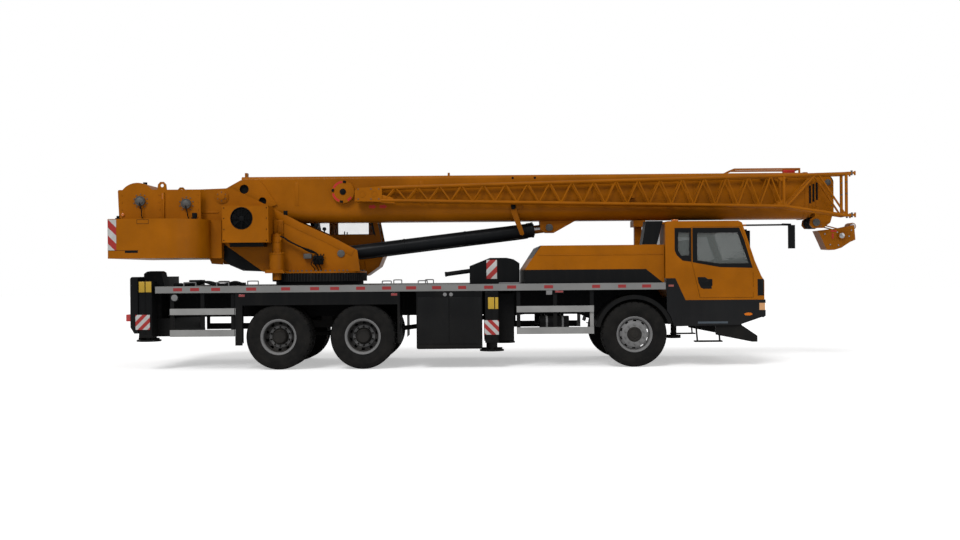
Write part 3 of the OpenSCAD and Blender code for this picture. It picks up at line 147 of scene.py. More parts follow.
class Finish:
    """One material and the nodes that it is wired from."""

    def __init__(self, name):
        self.material = bpy.data.materials.new(name)
        self.material.use_nodes = True
        self.tree = self.material.node_tree
        self.shader = self.tree.nodes["Principled BSDF"]
        self.coords = self.node("ShaderNodeTexCoord", {}, {}, "Object")
        split = self.tree.nodes.new("ShaderNodeSeparateXYZ")
        self.tree.links.new(self.coords.socket, split.inputs[0])
        self.x, self.y, self.z = (Wire(self, split.outputs[i]) for i in range(3))

    def plug(self, socket, value):
        if isinstance(value, Wire):
            self.tree.links.new(value.socket, socket)
        else:
            socket.default_value = value

    def node(self, kind, settings, inputs, output=0):
        made = self.tree.nodes.new(kind)
        for key, value in settings.items():
            setattr(made, key, value)
        for key, value in inputs.items():
            self.plug(made.inputs[key], value)
        return Wire(self, made.outputs[output])

    def noise(self, scale, detail=4.0, roughness=0.6, stretch=(1, 1, 1)):
        spot = self.coords
        if stretch != (1, 1, 1):
            spot = self.node("ShaderNodeVectorMath", {"operation": "MULTIPLY"}, {0: self.coords, 1: stretch})
        return self.node("ShaderNodeTexNoise", {}, {"Vector": spot, "Scale": scale, "Detail": detail,
                                                    "Roughness": roughness})

    def spread(self, value, low, high, to_low=0.0, to_high=1.0):
        return self.node("ShaderNodeMapRange", {"clamp": True}, {0: value, 1: low, 2: high, 3: to_low, 4: to_high})

    def blend(self, amount, first, second):
        made = self.tree.nodes.new("ShaderNodeMix")
        made.data_type = "RGBA"
        self.plug(made.inputs[0], amount)
        for socket, value in ((made.inputs[6], first), (made.inputs[7], second)):
            self.plug(socket, value if isinstance(value, Wire) else (*value, 1.0))
        return Wire(self, made.outputs[2])

    def facing_up(self):
        normal = self.node("ShaderNodeNewGeometry", {}, {}, "Normal")
        split = self.tree.nodes.new("ShaderNodeSeparateXYZ")
        self.tree.links.new(normal.socket, split.inputs[0])
        return Wire(self, split.outputs[2])

    def bump(self, height, strength, distance):
        self.plug(self.shader.inputs["Normal"],
                  self.node("ShaderNodeBump", {}, {"Strength": strength, "Distance": distance, "Height": height}))

    def set(self, **values):
        for key, value in values.items():
            socket = self.shader.inputs[key.replace("_", " ")]
            if isinstance(value, tuple) and len(value) == 3:
                value = (*value, 1.0)
            self.plug(socket, value)


DUST = (0.16, 0.135, 0.10)


def weathered(name, colour, rough, dust=0.35, metal=0.0, coat=0.0, peel=0.15, tone=0.12, recolour=None, shine=0.5):
    """Paint or cast metal with uneven tone, dust on top and low down, faint streaks and a slightly rippled coat."""
    finish = Finish(name)
    cloud = finish.noise(1.7, 5.0, 0.6)
    streak = finish.noise(9.0, 3.0, 0.55, (1.0, 1.0, 0.12))
    speck = finish.noise(160.0, 2.0, 0.5)
    darker = tuple(c * (1 - tone) for c in colour)
    lighter = tuple(min(1.0, c * (1 + tone)) for c in colour)
    shade = finish.blend(finish.spread(cloud, 0.35, 0.65), darker, lighter)
    if recolour:
        shade = recolour(finish, shade)
    top = finish.spread(finish.facing_up(), 0.55, 0.95)
    low = finish.spread(finish.z, 1.25, 0.35)
    film = finish.spread(streak, 0.48, 0.78) * 0.35 + top * finish.spread(cloud, 0.3, 0.7, 0.35, 1.0) * 0.8
    film = film + low * finish.spread(cloud, 0.3, 0.7, 0.3, 1.0) * 0.8
    film = finish.spread(film * dust, 0.0, 1.0)
    finish.set(Base_Color=finish.blend(film, shade, DUST), Metallic=metal,
               Roughness=finish.spread(film * 0.8 + speck * 0.2, 0.0, 1.0, rough, min(1.0, rough + 0.5)),
               Specular_IOR_Level=shine, Coat_Weight=coat, Coat_Roughness=0.08)
    ripple = finish.noise(55.0, 2.0, 0.5)
    finish.bump(ripple * 0.7 + speck * 0.3, peel, 0.002)
    return finish.material


AMBER = (0.285, 0.088, 0.0016)
BLACK = (0.0060, 0.0064, 0.0070)
STONE = (0.075, 0.075, 0.073)


def amber_paint(name, recolour=None):
    return weathered(name, AMBER, 0.34, dust=0.04, coat=0.03, peel=0.06, recolour=recolour, shine=0.06)


def black_paint():
    return weathered("black_paint", BLACK, 0.50, dust=0.04, peel=0.10, shine=0.05)


def gloss_black():
    return weathered("gloss_black", BLACK, 0.25, dust=0.03, coat=0.02, peel=0.04, shine=0.10)


def cylinder_black():
    return weathered("cylinder_black", (0.0085, 0.0095, 0.011), 0.36, dust=0.04, coat=0.02, peel=0.05, shine=0.10)


def cast_iron():
    return weathered("cast_iron", (0.0120, 0.0120, 0.0125), 0.62, dust=0.12, peel=0.35, shine=0.10)


def guard_rails():
    """Pale horizontal rails; posts, mudguards and steps are black."""
    def by_place(finish, shade):
        rails = (abs(finish.y) > 1.2185) * (finish.z.within(0.54, 0.653) + finish.z.within(0.89, 0.994))
        between = finish.x.within(-5.33, -4.12) + finish.x.within(0.36, 1.66)
        post = finish.x.within(1.55, 1.62) * finish.z.within(0.54, 0.994) * (abs(finish.y) > 1.19)
        return finish.blend((rails * between).either(post), BLACK, shade)

    return weathered("guard_rails", (0.25, 0.25, 0.245), 0.45, dust=0.06, recolour=by_place, shine=0.06)


def inside_circle(finish, x, z, radius):
    across = finish.x - x
    rise = finish.z - z
    return across * across + rise * rise < radius * radius


def rim_silver():
    """Silver, with painted shade on the deep discs of the twin wheels between bolt ring and rim."""
    def shade_deep_discs(finish, shade):
        # dark collects the painted shade: a near-black ring over each recessed twin-wheel disc
        dark = None
        for axle in ("mid", "rear"):
            near = inside_circle(finish, AXLE_X[axle], TYRE_R, 0.246) - inside_circle(
                finish, AXLE_X[axle], TYRE_R, 0.176)
            dark = near if dark is None else dark.either(near)
        return finish.blend(dark, shade, (0.020, 0.020, 0.021))

    return weathered("rim_silver", (0.17, 0.17, 0.172), 0.42, dust=0.10, coat=0.02, peel=0.2, recolour=shade_deep_discs,
                     shine=0.20)


def hood_paint():
    def band(finish, shade):
        low = (finish.z < 1.571) * (finish.x < (finish.z - 1.571) * -1.25 + 2.463)
        dark = low.either(finish.x < (finish.z - 1.586) * 0.714 + 0.517)
        return finish.blend(dark.either((finish.z > 1.963) * (abs(finish.y) > 0.25)), shade, BLACK)

    return amber_paint("hood_paint", band)


def winch_paint():
    def by_place(finish, shade):
        drums = inside_circle(finish, *WINCHES[0], 0.193).either(inside_circle(finish, *WINCHES[1], 0.193))
        shade = finish.blend(drums * (abs(finish.y) < 0.5945), shade, BLACK)
        shade = finish.blend((finish.z > 3.067) * (abs(finish.y) < 0.045), shade, BLACK)
        return finish.blend(abs(finish.y) > 0.6205, shade, STONE)

    return amber_paint("winch_paint", by_place)


def cooler_paint():
    def by_place(finish, shade):
        recess = inside_circle(finish, *FAN, 0.1706) * (finish.y < -0.60)
        return finish.blend((abs(finish.y) < 0.464).either(finish.z < 2.054).either(recess), shade, BLACK)

    return amber_paint("cooler_paint", by_place)


def cab_paint():
    def mirrors(finish, shade):
        arms = (finish.x > 4.07) * (finish.z > 2.15)
        return finish.blend(arms.either((finish.x > 4.25) * (finish.z > 1.85)), shade, BLACK)

    return amber_paint("cab_paint", mirrors)


def door_paint():
    def grip(finish, shade):
        proud = (abs(finish.y) > 1.2468) * finish.x.within(3.20, 3.60) * finish.z.within(1.28, 1.41)
        return finish.blend(proud, shade, BLACK)

    return amber_paint("door_paint", grip)


def jack_paint():
    """A bright rod inside a dark sleeve and float."""
    def rods(finish, shade):
        rod = None
        for x in BEAM_X.values():
            near = abs(finish.x - x) < 0.0505
            rod = near if rod is None else rod.either(near)
        rod = rod * (abs(abs(finish.y) - JACK_Y) < 0.0505)
        return finish.blend(rod, shade, (0.26, 0.26, 0.265))

    return weathered("jack_paint", BLACK, 0.32, dust=0.04, peel=0.05, shine=0.12, recolour=rods)


def bumper_paint():
    """Black, with an orange lamp in each side and a blue-grey edge above the step."""
    def by_place(finish, shade):
        across = (finish.x - 4.085) / 0.065
        rise = (finish.z - 0.836) / 0.0235
        lens = (across * across + rise * rise < 1.0) * (abs(finish.y) > 1.20)
        edge = finish.x.within(3.277, 3.757) * finish.z.within(0.690, 0.722) * (abs(finish.y) > 1.20)
        shade = finish.blend(edge, shade, (0.060, 0.075, 0.090))
        mark = finish.x.within(2.812, 2.895) * finish.z.within(1.284, 1.316) * (abs(finish.y) > 1.20)
        shade = finish.blend(mark, shade, (0.26, 0.08, 0.07))
        return finish.blend(lens, shade, (0.55, 0.14, 0.010))

    return weathered("bumper_paint", (0.0085, 0.0090, 0.0100), 0.34, dust=0.03, coat=0.02, peel=0.04, shine=0.10,
                     recolour=by_place)


RED_MARKS = [(-5.115, -4.971), (-4.843, -4.699), (-4.507, -4.363), (-3.947, -3.787), (-3.387, -3.243),
             (-2.923, -2.779), (-2.603, -2.459), (-2.187, -2.043), (-1.771, -1.627), (-1.387, -1.227),
             (-0.971, -0.827), (-0.555, -0.427), (-0.139, 0.005), (0.229, 0.373), (0.821, 0.965),
             (1.589, 1.717), (2.005, 2.133), (2.389, 2.533)]


def deck_plate():
    """Tread plate on top and a pale edge rail with red marks along both sides."""
    finish = Finish("deck_plate")
    cloud = finish.noise(2.0, 5.0)
    rail = abs(finish.y) > 1.2355
    marks = None
    for low, high in RED_MARKS:
        mark = finish.x.within(low, high)
        marks = mark if marks is None else marks + mark
    marks = marks * finish.z.within(1.272, 1.324)
    pale = finish.blend(finish.spread(cloud, 0.3, 0.7), (0.15, 0.15, 0.147), (0.185, 0.184, 0.18))
    grey = finish.blend(finish.spread(cloud, 0.3, 0.7), (0.05, 0.05, 0.052), (0.10, 0.098, 0.092))
    strip = finish.blend(marks, pale, (0.25, 0.009, 0.010))
    finish.set(Base_Color=finish.blend(rail, grey, strip), Roughness=finish.spread(cloud, 0.3, 0.7, 0.38, 0.62))
    cell = 0.032
    u = finish.x / cell
    v = finish.y / cell
    side = ((u.floor() + v.floor()) % 2.0) * -2.0 + 1.0
    across = u % 1.0 - 0.5
    along = v % 1.0 - 0.5
    long_way = (across + side * along) / 0.62
    short_way = (across - side * along) / 0.20
    lug = finish.spread(long_way * long_way + short_way * short_way, 1.0, 0.4)
    finish.bump(lug * (1 - rail) + finish.noise(120.0, 2.0) * 0.05, 0.6, 0.003)
    return finish.material


def tyre_rubber():
    finish = Finish("tyre_rubber")
    cloud = finish.noise(6.0, 5.0)
    fine = finish.noise(240.0, 3.0)
    tone = finish.blend(finish.spread(cloud, 0.35, 0.7), (0.007, 0.007, 0.007), (0.014, 0.013, 0.012))
    finish.set(Base_Color=tone, Roughness=finish.spread(fine, 0.3, 0.7, 0.62, 0.85), Specular_IOR_Level=0.08)
    finish.bump(fine, 0.25, 0.001)
    return finish.material


def tinted_glass(name, low, high):
    finish = Finish(name)
    film = finish.noise(5.0, 4.0)
    finish.set(Base_Color=(0.10, 0.115, 0.11), Roughness=finish.spread(film, 0.4, 0.8, 0.02, 0.10),
               Alpha=finish.spread(film, 0.3, 0.8, low, high), Coat_Weight=1.0, Coat_Roughness=0.02)
    return finish.material


def cab_plastic():
    finish = Finish("cab_plastic")
    grain = finish.noise(300.0, 2.0)
    cloud = finish.noise(4.0, 3.0)
    finish.set(Base_Color=finish.blend(cloud, (0.028, 0.028, 0.030), (0.045, 0.044, 0.044)),
               Roughness=finish.spread(grain, 0.3, 0.7, 0.55, 0.75))
    finish.bump(grain, 0.4, 0.001)
    return finish.material


def bright_steel():
    finish = Finish("bright_steel")
    brushed = finish.noise(60.0, 3.0, 0.5, (0.1, 1.0, 0.1))
    finish.set(Base_Color=(0.42, 0.42, 0.43), Metallic=1.0, Roughness=finish.spread(brushed, 0.3, 0.7, 0.12, 0.30))
    return finish.material


def lamp_lens(name, colour):
    finish = Finish(name)
    ribs = finish.node("ShaderNodeTexWave", {"bands_direction": "Z"}, {"Vector": finish.coords, "Scale": 60.0})
    finish.set(Base_Color=finish.blend(ribs, tuple(c * 0.8 for c in colour), colour), Roughness=0.18, Coat_Weight=0.8)
    finish.bump(ribs, 0.3, 0.001)
    return finish.material


def carrier_lens():
    """Pale lamps at the front, red ones at the rear and orange ones between."""
    finish = Finish("carrier_lens")
    ribs = finish.node("ShaderNodeTexWave", {"bands_direction": "Z"}, {"Vector": finish.coords, "Scale": 60.0})
    colour = finish.blend(finish.x > 4.1, (0.60, 0.16, 0.01), (0.50, 0.50, 0.48))
    colour = finish.blend((finish.x > 4.1) * (abs(finish.y) > 1.19), colour, (0.55, 0.27, 0.10))
    colour = finish.blend(finish.x < -5.6, colour, (0.40, 0.012, 0.010))
    finish.set(Base_Color=colour, Roughness=0.18, Coat_Weight=0.8)
    finish.bump(ribs, 0.3, 0.001)
    return finish.material


def hazard_stripes(name, lean, pitch=0.160):
    """Red and white bands on a reflective plate; lean is 1 where they rise forward and -1 where they fall."""
    finish = Finish(name)
    slant = finish.x * -lean + abs(finish.y) + finish.z
    red = (slant / pitch) % 1.0 < 0.5
    cloud = finish.noise(8.0, 4.0)
    white = finish.blend(finish.spread(cloud, 0.3, 0.7), (0.36, 0.36, 0.35), (0.46, 0.46, 0.45))
    colour = finish.blend(red, white, (0.30, 0.012, 0.010))
    honeycomb = finish.node("ShaderNodeTexVoronoi", {}, {"Vector": finish.coords, "Scale": 260.0}, "Distance")
    finish.set(Base_Color=colour, Roughness=finish.spread(cloud, 0.3, 0.7, 0.25, 0.4))
    finish.bump(honeycomb, 0.15, 0.0005)
    return finish.material


FINISHES = {
    "amber": amber_paint("amber_paint"), "winch": winch_paint(), "cooler": cooler_paint(),
    "cab": cab_paint(), "door": door_paint(), "bumper": bumper_paint(), "jack": jack_paint(), "hood": hood_paint(),
    "black": black_paint(), "gloss_black": gloss_black(),
    "barrel": cylinder_black(), "iron": cast_iron(), "guard": guard_rails(), "rim": rim_silver(),
    "deck": deck_plate(), "tyre": tyre_rubber(), "glass": tinted_glass("tinted_glass", 0.52, 0.60),
    "clear": tinted_glass("clear_glass", 0.05, 0.09), "plastic": cab_plastic(), "steel": bright_steel(),
    "lens": carrier_lens(), "lens_orange": lamp_lens("lens_orange", (0.60, 0.16, 0.01)),
    "lens_red": lamp_lens("lens_red", (0.26, 0.02, 0.02)), "lens_pale": lamp_lens("lens_pale", (0.50, 0.50, 0.48)),
    "stone": weathered("stone_grey", STONE, 0.5, dust=0.2, peel=0.1, shine=0.3),
    "red": weathered("red_paint", (0.42, 0.018, 0.012), 0.4, dust=0.1, peel=0.03, shine=0.3),
    "label": weathered("label_yellow", (0.42, 0.26, 0.012), 0.35, dust=0.1, peel=0.02),
    "stripes_up": hazard_stripes("stripes_up", 1), "stripes_down": hazard_stripes("stripes_down", -1),
    "stripes_wide": hazard_stripes("stripes_wide", -1, 0.26),
    "stripes_cover": hazard_stripes("stripes_cover", 1, 0.21),
}

NODE_FINISH = {
    "chassis_frame": "black", "deck": "deck", "cab_shell": "cab", "carrier_glass": "glass",
    "cab_interior": "plastic", "bumper": "bumper", "lamps": "lens", "engine_hood": "hood",
    "engine": "iron", "tanks": "black", "guards": "guard", "axles": "iron", "deck_covers": "black",
    "slew_ring": "iron", "turntable": "amber", "slew_drive": "amber", "counterweight": "amber",
    "winches": "winch", "oil_cooler": "cooler", "operator_cab": "amber", "operator_seat": "plastic",
    "operator_glass": "clear", "operator_door_glass": "clear",
    "operator_door": "amber", "boom_base": "amber", "boom_section_2": "amber", "boom_section_3": "amber",
    "boom_section_4": "amber", "head_sheaves": "iron", "jib": "amber", "hook_block": "amber",
    "luff_barrel": "barrel", "luff_rod": "steel", "nose_jack": "iron",
    "cab_door_right": "door", "cab_door_left": "door", "knuckle_right": "iron", "knuckle_left": "iron",
}


def finish_of(node):
    for word, key in (("glass", "glass"), ("tyre", "tyre"), ("rim", "rim"), ("beam", "black"), ("jack", "jack")):
        if word in node and node not in NODE_FINISH:
            return key
    return NODE_FINISH[node]


for node_name, node_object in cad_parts.items():
    node_object.data.materials.clear()
    node_object.data.materials.append(FINISHES[finish_of(node_name)])


# Shapes


class Shape:
    """Collects closed solids for one piece."""

    def __init__(self):
        self.bm = bmesh.new()

    def take(self, part, matrix=None):
        if matrix is not None:
            part.transform(matrix)
        bmesh.ops.recalc_face_normals(part, faces=part.faces)
        mesh = bpy.data.meshes.new("part")
        part.to_mesh(mesh)
        part.free()
        self.bm.from_mesh(mesh)
        bpy.data.meshes.remove(mesh)

    def slab(self, low, high, edge=0.0, matrix=None):
        """A box between two opposite corners."""
        low, high = zip(*(sorted(pair) for pair in zip(low, high)))
        part = bmesh.new()
        size = [b - a for a, b in zip(low, high)]
        middle = [(a + b) / 2 for a, b in zip(low, high)]
        bmesh.ops.create_cube(part, size=1.0, matrix=Matrix.Translation(middle) @ Matrix.Diagonal((*size, 1.0)))
        round_edges(part, edge)
        self.take(part, matrix)

    def pin(self, x, y0, y1, z, radius, sides=24, edge=0.0):
        """A rod across the vehicle."""
        self.rod((x, y0, z), (x, y1, z), radius, sides, edge)

    def rod(self, a, b, radius, sides=24, edge=0.0):
        part = bmesh.new()
        a, b = Vector(a), Vector(b)
        bmesh.ops.create_cone(part, cap_ends=True, segments=sides, radius1=radius,
                              radius2=radius, depth=(b - a).length)
        if edge:
            rims = [e for e in part.edges if abs(e.verts[0].co.z - e.verts[1].co.z) < 1e-6]
            bmesh.ops.bevel(part, geom=rims, offset=edge, segments=2, profile=0.5, affect="EDGES", material=-1)
        turn = (b - a).to_track_quat("Z", "Y").to_matrix().to_4x4()
        self.take(part, Matrix.Translation((a + b) / 2) @ turn)

    def plate(self, outline, y0, y1, edge=0.0, matrix=None):
        """A plate with that outline in the XZ plane."""
        part = bmesh.new()
        face = part.faces.new([part.verts.new((x, y0, z)) for x, z in outline])
        thicken(part, [face], y1 - y0)
        round_edges(part, edge)
        self.take(part, matrix)

    def lathe(self, profile, matrix, steps=48):
        self.take(revolve(profile, steps), matrix)

    def path(self, points, radius, sides=10, smooth=6):
        """A round bar along a smooth line through the points."""
        points = smooth_line([Vector(p) for p in points], smooth)
        part = bmesh.new()
        rings = []
        up = Vector((0, 0, 1))
        for i, spot in enumerate(points):
            ahead = (points[min(i + 1, len(points) - 1)] - points[max(i - 1, 0)]).normalized()
            side = ahead.cross(up)
            side = side.normalized() if side.length > 0.05 else ahead.cross(Vector((0, 1, 0))).normalized()
            lift = side.cross(ahead)
            ring = bmesh.ops.create_circle(part, segments=sides, radius=radius)["verts"]
            turn = Matrix((side, lift, ahead)).transposed().to_4x4()
            bmesh.ops.transform(part, matrix=Matrix.Translation(spot) @ turn, verts=ring)
            rings.append(ring)
        for ring, following in zip(rings, rings[1:]):
            edges = {e for v in ring + following for e in v.link_edges}
            bmesh.ops.bridge_loops(part, edges=[e for e in edges if all(v in ring for v in e.verts)
                                                or all(v in following for v in e.verts)])
        for ring in (rings[0], rings[-1]):
            part.faces.new(ring)
        self.take(part)

    def piece(self, name, finish, body, replaces=(), crease=35):
        mesh = bpy.data.meshes.new(name)
        self.bm.to_mesh(mesh)
        self.bm.free()
        thing = bpy.data.objects.new(name, mesh)
        bpy.context.collection.objects.link(thing)
        mesh.materials.append(FINISHES[finish])
        mesh.shade_smooth()
        mesh.set_sharp_from_angle(angle=math.radians(crease))
        if replaces:
            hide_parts(*replaces)
        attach(thing, body)
        return thing


def revolve(profile, steps, closed=True):
    """A profile of (radius, height) points, turned about the local Z axis."""
    part = bmesh.new()
    corners = [part.verts.new((r, 0, h)) for r, h in profile]
    edges = [part.edges.new(pair) for pair in zip(corners, corners[1:] + corners[:1] * closed)]
    bmesh.ops.spin(part, geom=corners + edges, cent=(0, 0, 0), axis=(0, 0, 1), angle=math.tau, steps=steps,
                   use_merge=True)
    bmesh.ops.remove_doubles(part, verts=part.verts, dist=1e-5)
    return part


def thicken(part, faces, depth):
    """Draws faces out along Y into closed solids."""
    made = bmesh.ops.extrude_face_region(part, geom=faces)
    moved = [g for g in made["geom"] if isinstance(g, bmesh.types.BMVert)]
    bmesh.ops.translate(part, vec=(0, depth, 0), verts=moved)


def round_edges(part, edge):
    if edge:
        bmesh.ops.bevel(part, geom=list(part.edges), offset=edge, segments=2, profile=0.5, affect="EDGES",
                        material=-1)


def smooth_line(points, steps):
    """Points on a smooth line through the given ones."""
    if steps < 2 or len(points) < 3:
        return points
    ends = [points[0] * 2 - points[1]] + points + [points[-1] * 2 - points[-2]]
    line = []
    for p0, p1, p2, p3 in zip(ends, ends[1:], ends[2:], ends[3:]):
        for i in range(steps):
            t = i / steps
            line.append(0.5 * (2 * p1 + (p2 - p0) * t + (2 * p0 - 5 * p1 + 4 * p2 - p3) * t * t
                               + (3 * p1 - p0 - 3 * p2 + p3) * t ** 3))
    return line + [points[-1]]


FLAT = Matrix(((1, 0, 0, 0), (0, 0, 1, 0), (0, 1, 0, 0), (0, 0, 0, 1)))


def side_slab(shape, x0, x1, y0, y1, z0, z1, edge=0.0, sides=(-1, 1)):
    """A slab between two distances from the middle plane, on one side or both."""
    for sign in sides:
        shape.slab((x0, sign * y0, z0), (x1, sign * y1, z1), edge)


def bolt_heads(shape, spots, direction, radius=0.012, height=0.010):
    way = Vector(direction)
    for spot in spots:
        shape.rod(Vector(spot) - way * 0.004, Vector(spot) + way * height, radius, 6)


def ring_spots(x, y, z, radius, count, plane="XZ"):
    for i in range(count):
        turn = math.tau * (i + 0.5) / count
        a, b = radius * math.cos(turn), radius * math.sin(turn)
        yield (x + a, y, z + b) if plane == "XZ" else (x + a, y + b, z)


# Tyres with their tread


TREAD_STEPS = 120
SHOULDER_DEPTH = 0.012


def tyre_profile():
    half = TYRE_W / 2
    groove = 0.006
    top = TYRE_R
    outer = [(0.268, half - 0.030), (0.300, half - 0.012), (0.330, half - 0.006), (0.334, half - 0.003),
             (0.392, half), (0.430, half - 0.003), (0.436, half - 0.001), (0.455, half - 0.006),
             (0.500, half - 0.016), (top - 0.012, half - 0.024), (top - 0.006, half - 0.036)]
    tread = []
    for mid in (0.075, 0.026):
        tread += [(top - 0.003, mid + groove), (top - 0.017, mid + groove * 0.6), (top - 0.017, mid - groove * 0.6),
                  (top - 0.001, mid - groove)]
    upper = outer + tread
    lower = [(r, -h) for r, h in reversed(upper)]
    bead = [(0.268, -half + 0.050), (0.282, -half + 0.060), (0.282, half - 0.060), (0.268, half - 0.050)]
    return upper + lower + bead


def tyre_shape(shape, x, y):
    part = revolve(tyre_profile(), TREAD_STEPS)
    bmesh.ops.recalc_face_normals(part, faces=part.faces)
    step = math.tau / TREAD_STEPS
    for v in part.verts:
        if math.hypot(v.co.x, v.co.y) > 0.500 and abs(v.co.z) < 0.09:
            turn = round(math.atan2(v.co.y, v.co.x) / step) % 4
            v.co.z += (0.0, 0.006, 0.0, -0.006)[turn]
    notches = []
    for face in part.faces:
        spot = face.calc_center_median()
        reach = math.hypot(spot.x, spot.y)
        turn = int((math.atan2(spot.y, spot.x) % math.tau) / step)
        on_shoulder = abs(spot.z) > 0.085 and reach > 0.506
        if on_shoulder and turn % 4 == 0 and face.normal.dot(spot) > 0:
            notches.append(face)
    bmesh.ops.inset_individual(part, faces=notches, thickness=0.002, depth=-SHOULDER_DEPTH)
    shape.take(part, turned((x, y, TYRE_R), -90, "X"))


def tyres():
    for side, sign in SIDES.items():
        front = Shape()
        tyre_shape(front, AXLE_X["front"], sign * WHEEL_MID_Y)
        front.piece(f"front_tread_{side}", "tyre", f"front_wheel_{side}", [f"front_tyre_{side}"])
        for axle in ("mid", "rear"):
            pair = Shape()
            for y in (WHEEL_MID_Y, TWIN_MID_Y):
                tyre_shape(pair, AXLE_X[axle], sign * y)
            pair.piece(f"{axle}_treads_{side}", "tyre", f"{axle}_wheels_{side}", [f"{axle}_tyres_{side}"])


# Wheels


RIM_BARREL = [(0.266, -0.116), (0.284, -0.124), (0.288, -0.131), (0.281, -0.133), (0.258, -0.118),
              (0.246, -0.080), (0.240, 0.000), (0.246, 0.070), (0.256, 0.108), (0.281, 0.127),
              (0.288, 0.125), (0.284, 0.118), (0.266, 0.110), (0.262, 0.070), (0.252, 0.0), (0.258, -0.080)]


def wheel_disc(shape, matrix, profile, holes, hole_band):
    """A pressed disc with hand holes; the profile runs from the rim inwards."""
    steps = holes * 8
    part = revolve(profile, steps, False)
    opened = []
    for face in part.faces:
        spot = face.calc_center_median()
        turn = int((math.atan2(spot.y, spot.x) % math.tau) / math.tau * steps) % 8
        if hole_band[0] < math.hypot(spot.x, spot.y) < hole_band[1] and turn in (2, 3, 4):
            opened.append(face)
    bmesh.ops.delete(part, geom=opened, context="FACES")
    bmesh.ops.recalc_face_normals(part, faces=part.faces)
    bmesh.ops.solidify(part, geom=list(part.faces), thickness=0.010)
    shape.take(part, matrix)


def wheel_nuts(shape, matrix, ring_r, count, base, length, radius=0.016):
    for i in range(count):
        turn = math.tau * (i + 0.5) / count
        spot = matrix @ Matrix.Translation((ring_r * math.cos(turn), ring_r * math.sin(turn), base))
        part = bmesh.new()
        bmesh.ops.create_cone(part, cap_ends=True, segments=6, radius1=radius, radius2=radius * 0.86,
                              depth=length, matrix=Matrix.Translation((0, 0, length / 2)))
        shape.take(part, spot)
        stud = bmesh.new()
        bmesh.ops.create_cone(stud, cap_ends=True, segments=8, radius1=radius * 0.5, radius2=radius * 0.45,
                              depth=0.016, matrix=Matrix.Translation((0, 0, length + 0.007)))
        shape.take(stud, spot)


FRONT_DISC = [(0.250, 0.030), (0.243, 0.062), (0.232, 0.078), (0.220, 0.088), (0.208, 0.097), (0.198, 0.106),
              (0.188, 0.112), (0.150, 0.112), (0.118, 0.112)]
DEEP_DISC = [(0.244, 0.030), (0.240, -0.020), (0.230, -0.048), (0.220, -0.060), (0.208, -0.068), (0.196, -0.074),
             (0.180, -0.076), (0.150, -0.076), (0.110, -0.076)]


def outward(x, sign, y):
    """Local Z along the axle, pointing away from the vehicle."""
    return turned((x, sign * y, TYRE_R), -90 * sign, "X")


def wheels():
    for side, sign in SIDES.items():
        spot = outward(AXLE_X["front"], sign, WHEEL_MID_Y)
        silver = Shape()
        silver.lathe(RIM_BARREL, spot, 72)
        wheel_disc(silver, spot, FRONT_DISC, 10, (0.204, 0.240))
        wheel_nuts(silver, spot, 0.155, 10, 0.112, 0.018)
        silver.piece(f"front_wheel_rim_{side}", "rim", f"front_wheel_{side}", [f"front_rim_{side}"])
        hub = Shape()
        hub.lathe([(0.047, -0.060), (0.118, -0.060), (0.118, 0.118), (0.110, 0.128), (0.094, 0.132),
                   (0.088, 0.126), (0.062, 0.126), (0.056, 0.134), (0.030, 0.136), (0.0, 0.136), (0.0, 0.070),
                   (0.047, 0.070)], spot, 48)
        wheel_nuts(hub, spot, 0.100, 8, 0.126, 0.006, 0.007)
        hub.piece(f"front_hub_{side}", "iron", f"front_wheel_{side}")
        for axle in ("mid", "rear"):
            outer = outward(AXLE_X[axle], sign, WHEEL_MID_Y)
            inner = turned((AXLE_X[axle], sign * TWIN_MID_Y, TYRE_R), 90 * sign, "X")
            silver = Shape()
            for place in (outer, inner):
                silver.lathe(RIM_BARREL, place, 72)
                wheel_disc(silver, place, DEEP_DISC, 10, (0.199, 0.236))
            silver.piece(f"{axle}_wheel_rims_{side}", "rim", f"{axle}_wheels_{side}",
                         [f"{axle}_rims_{side}"])
            hub = Shape()
            hub.lathe([(0.047, -0.340), (0.130, -0.340), (0.130, -0.066), (0.135, -0.066), (0.135, -0.058),
                       (0.120, -0.058), (0.112, 0.040), (0.100, 0.056), (0.092, 0.060), (0.086, 0.054), (0.0, 0.054),
                       (0.0, 0.022), (0.047, 0.022)], outer, 48)
            wheel_nuts(hub, outer, 0.154, 10, -0.068, 0.030)
            wheel_nuts(hub, outer, 0.100, 8, 0.054, 0.006, 0.007)
            hub.piece(f"{axle}_hub_{side}", "iron", f"{axle}_wheels_{side}")


# Plates, labels and lamps on the carrier


COLUMN_Z = {"rear": (0.530, 1.440), "front": (0.406, 1.232)}
PLATE_SPOT = {"rear": (-0.043, 0.660, 0.900), "front": (-0.004, 0.537, 0.769)}
LABEL_SPOT = {"rear": (1.260, 1.432, ((-0.100, -0.008), (0.008, 0.100))),
              "front": (0.950, 1.137, ((-0.058, 0.040), (0.056, 0.104)))}


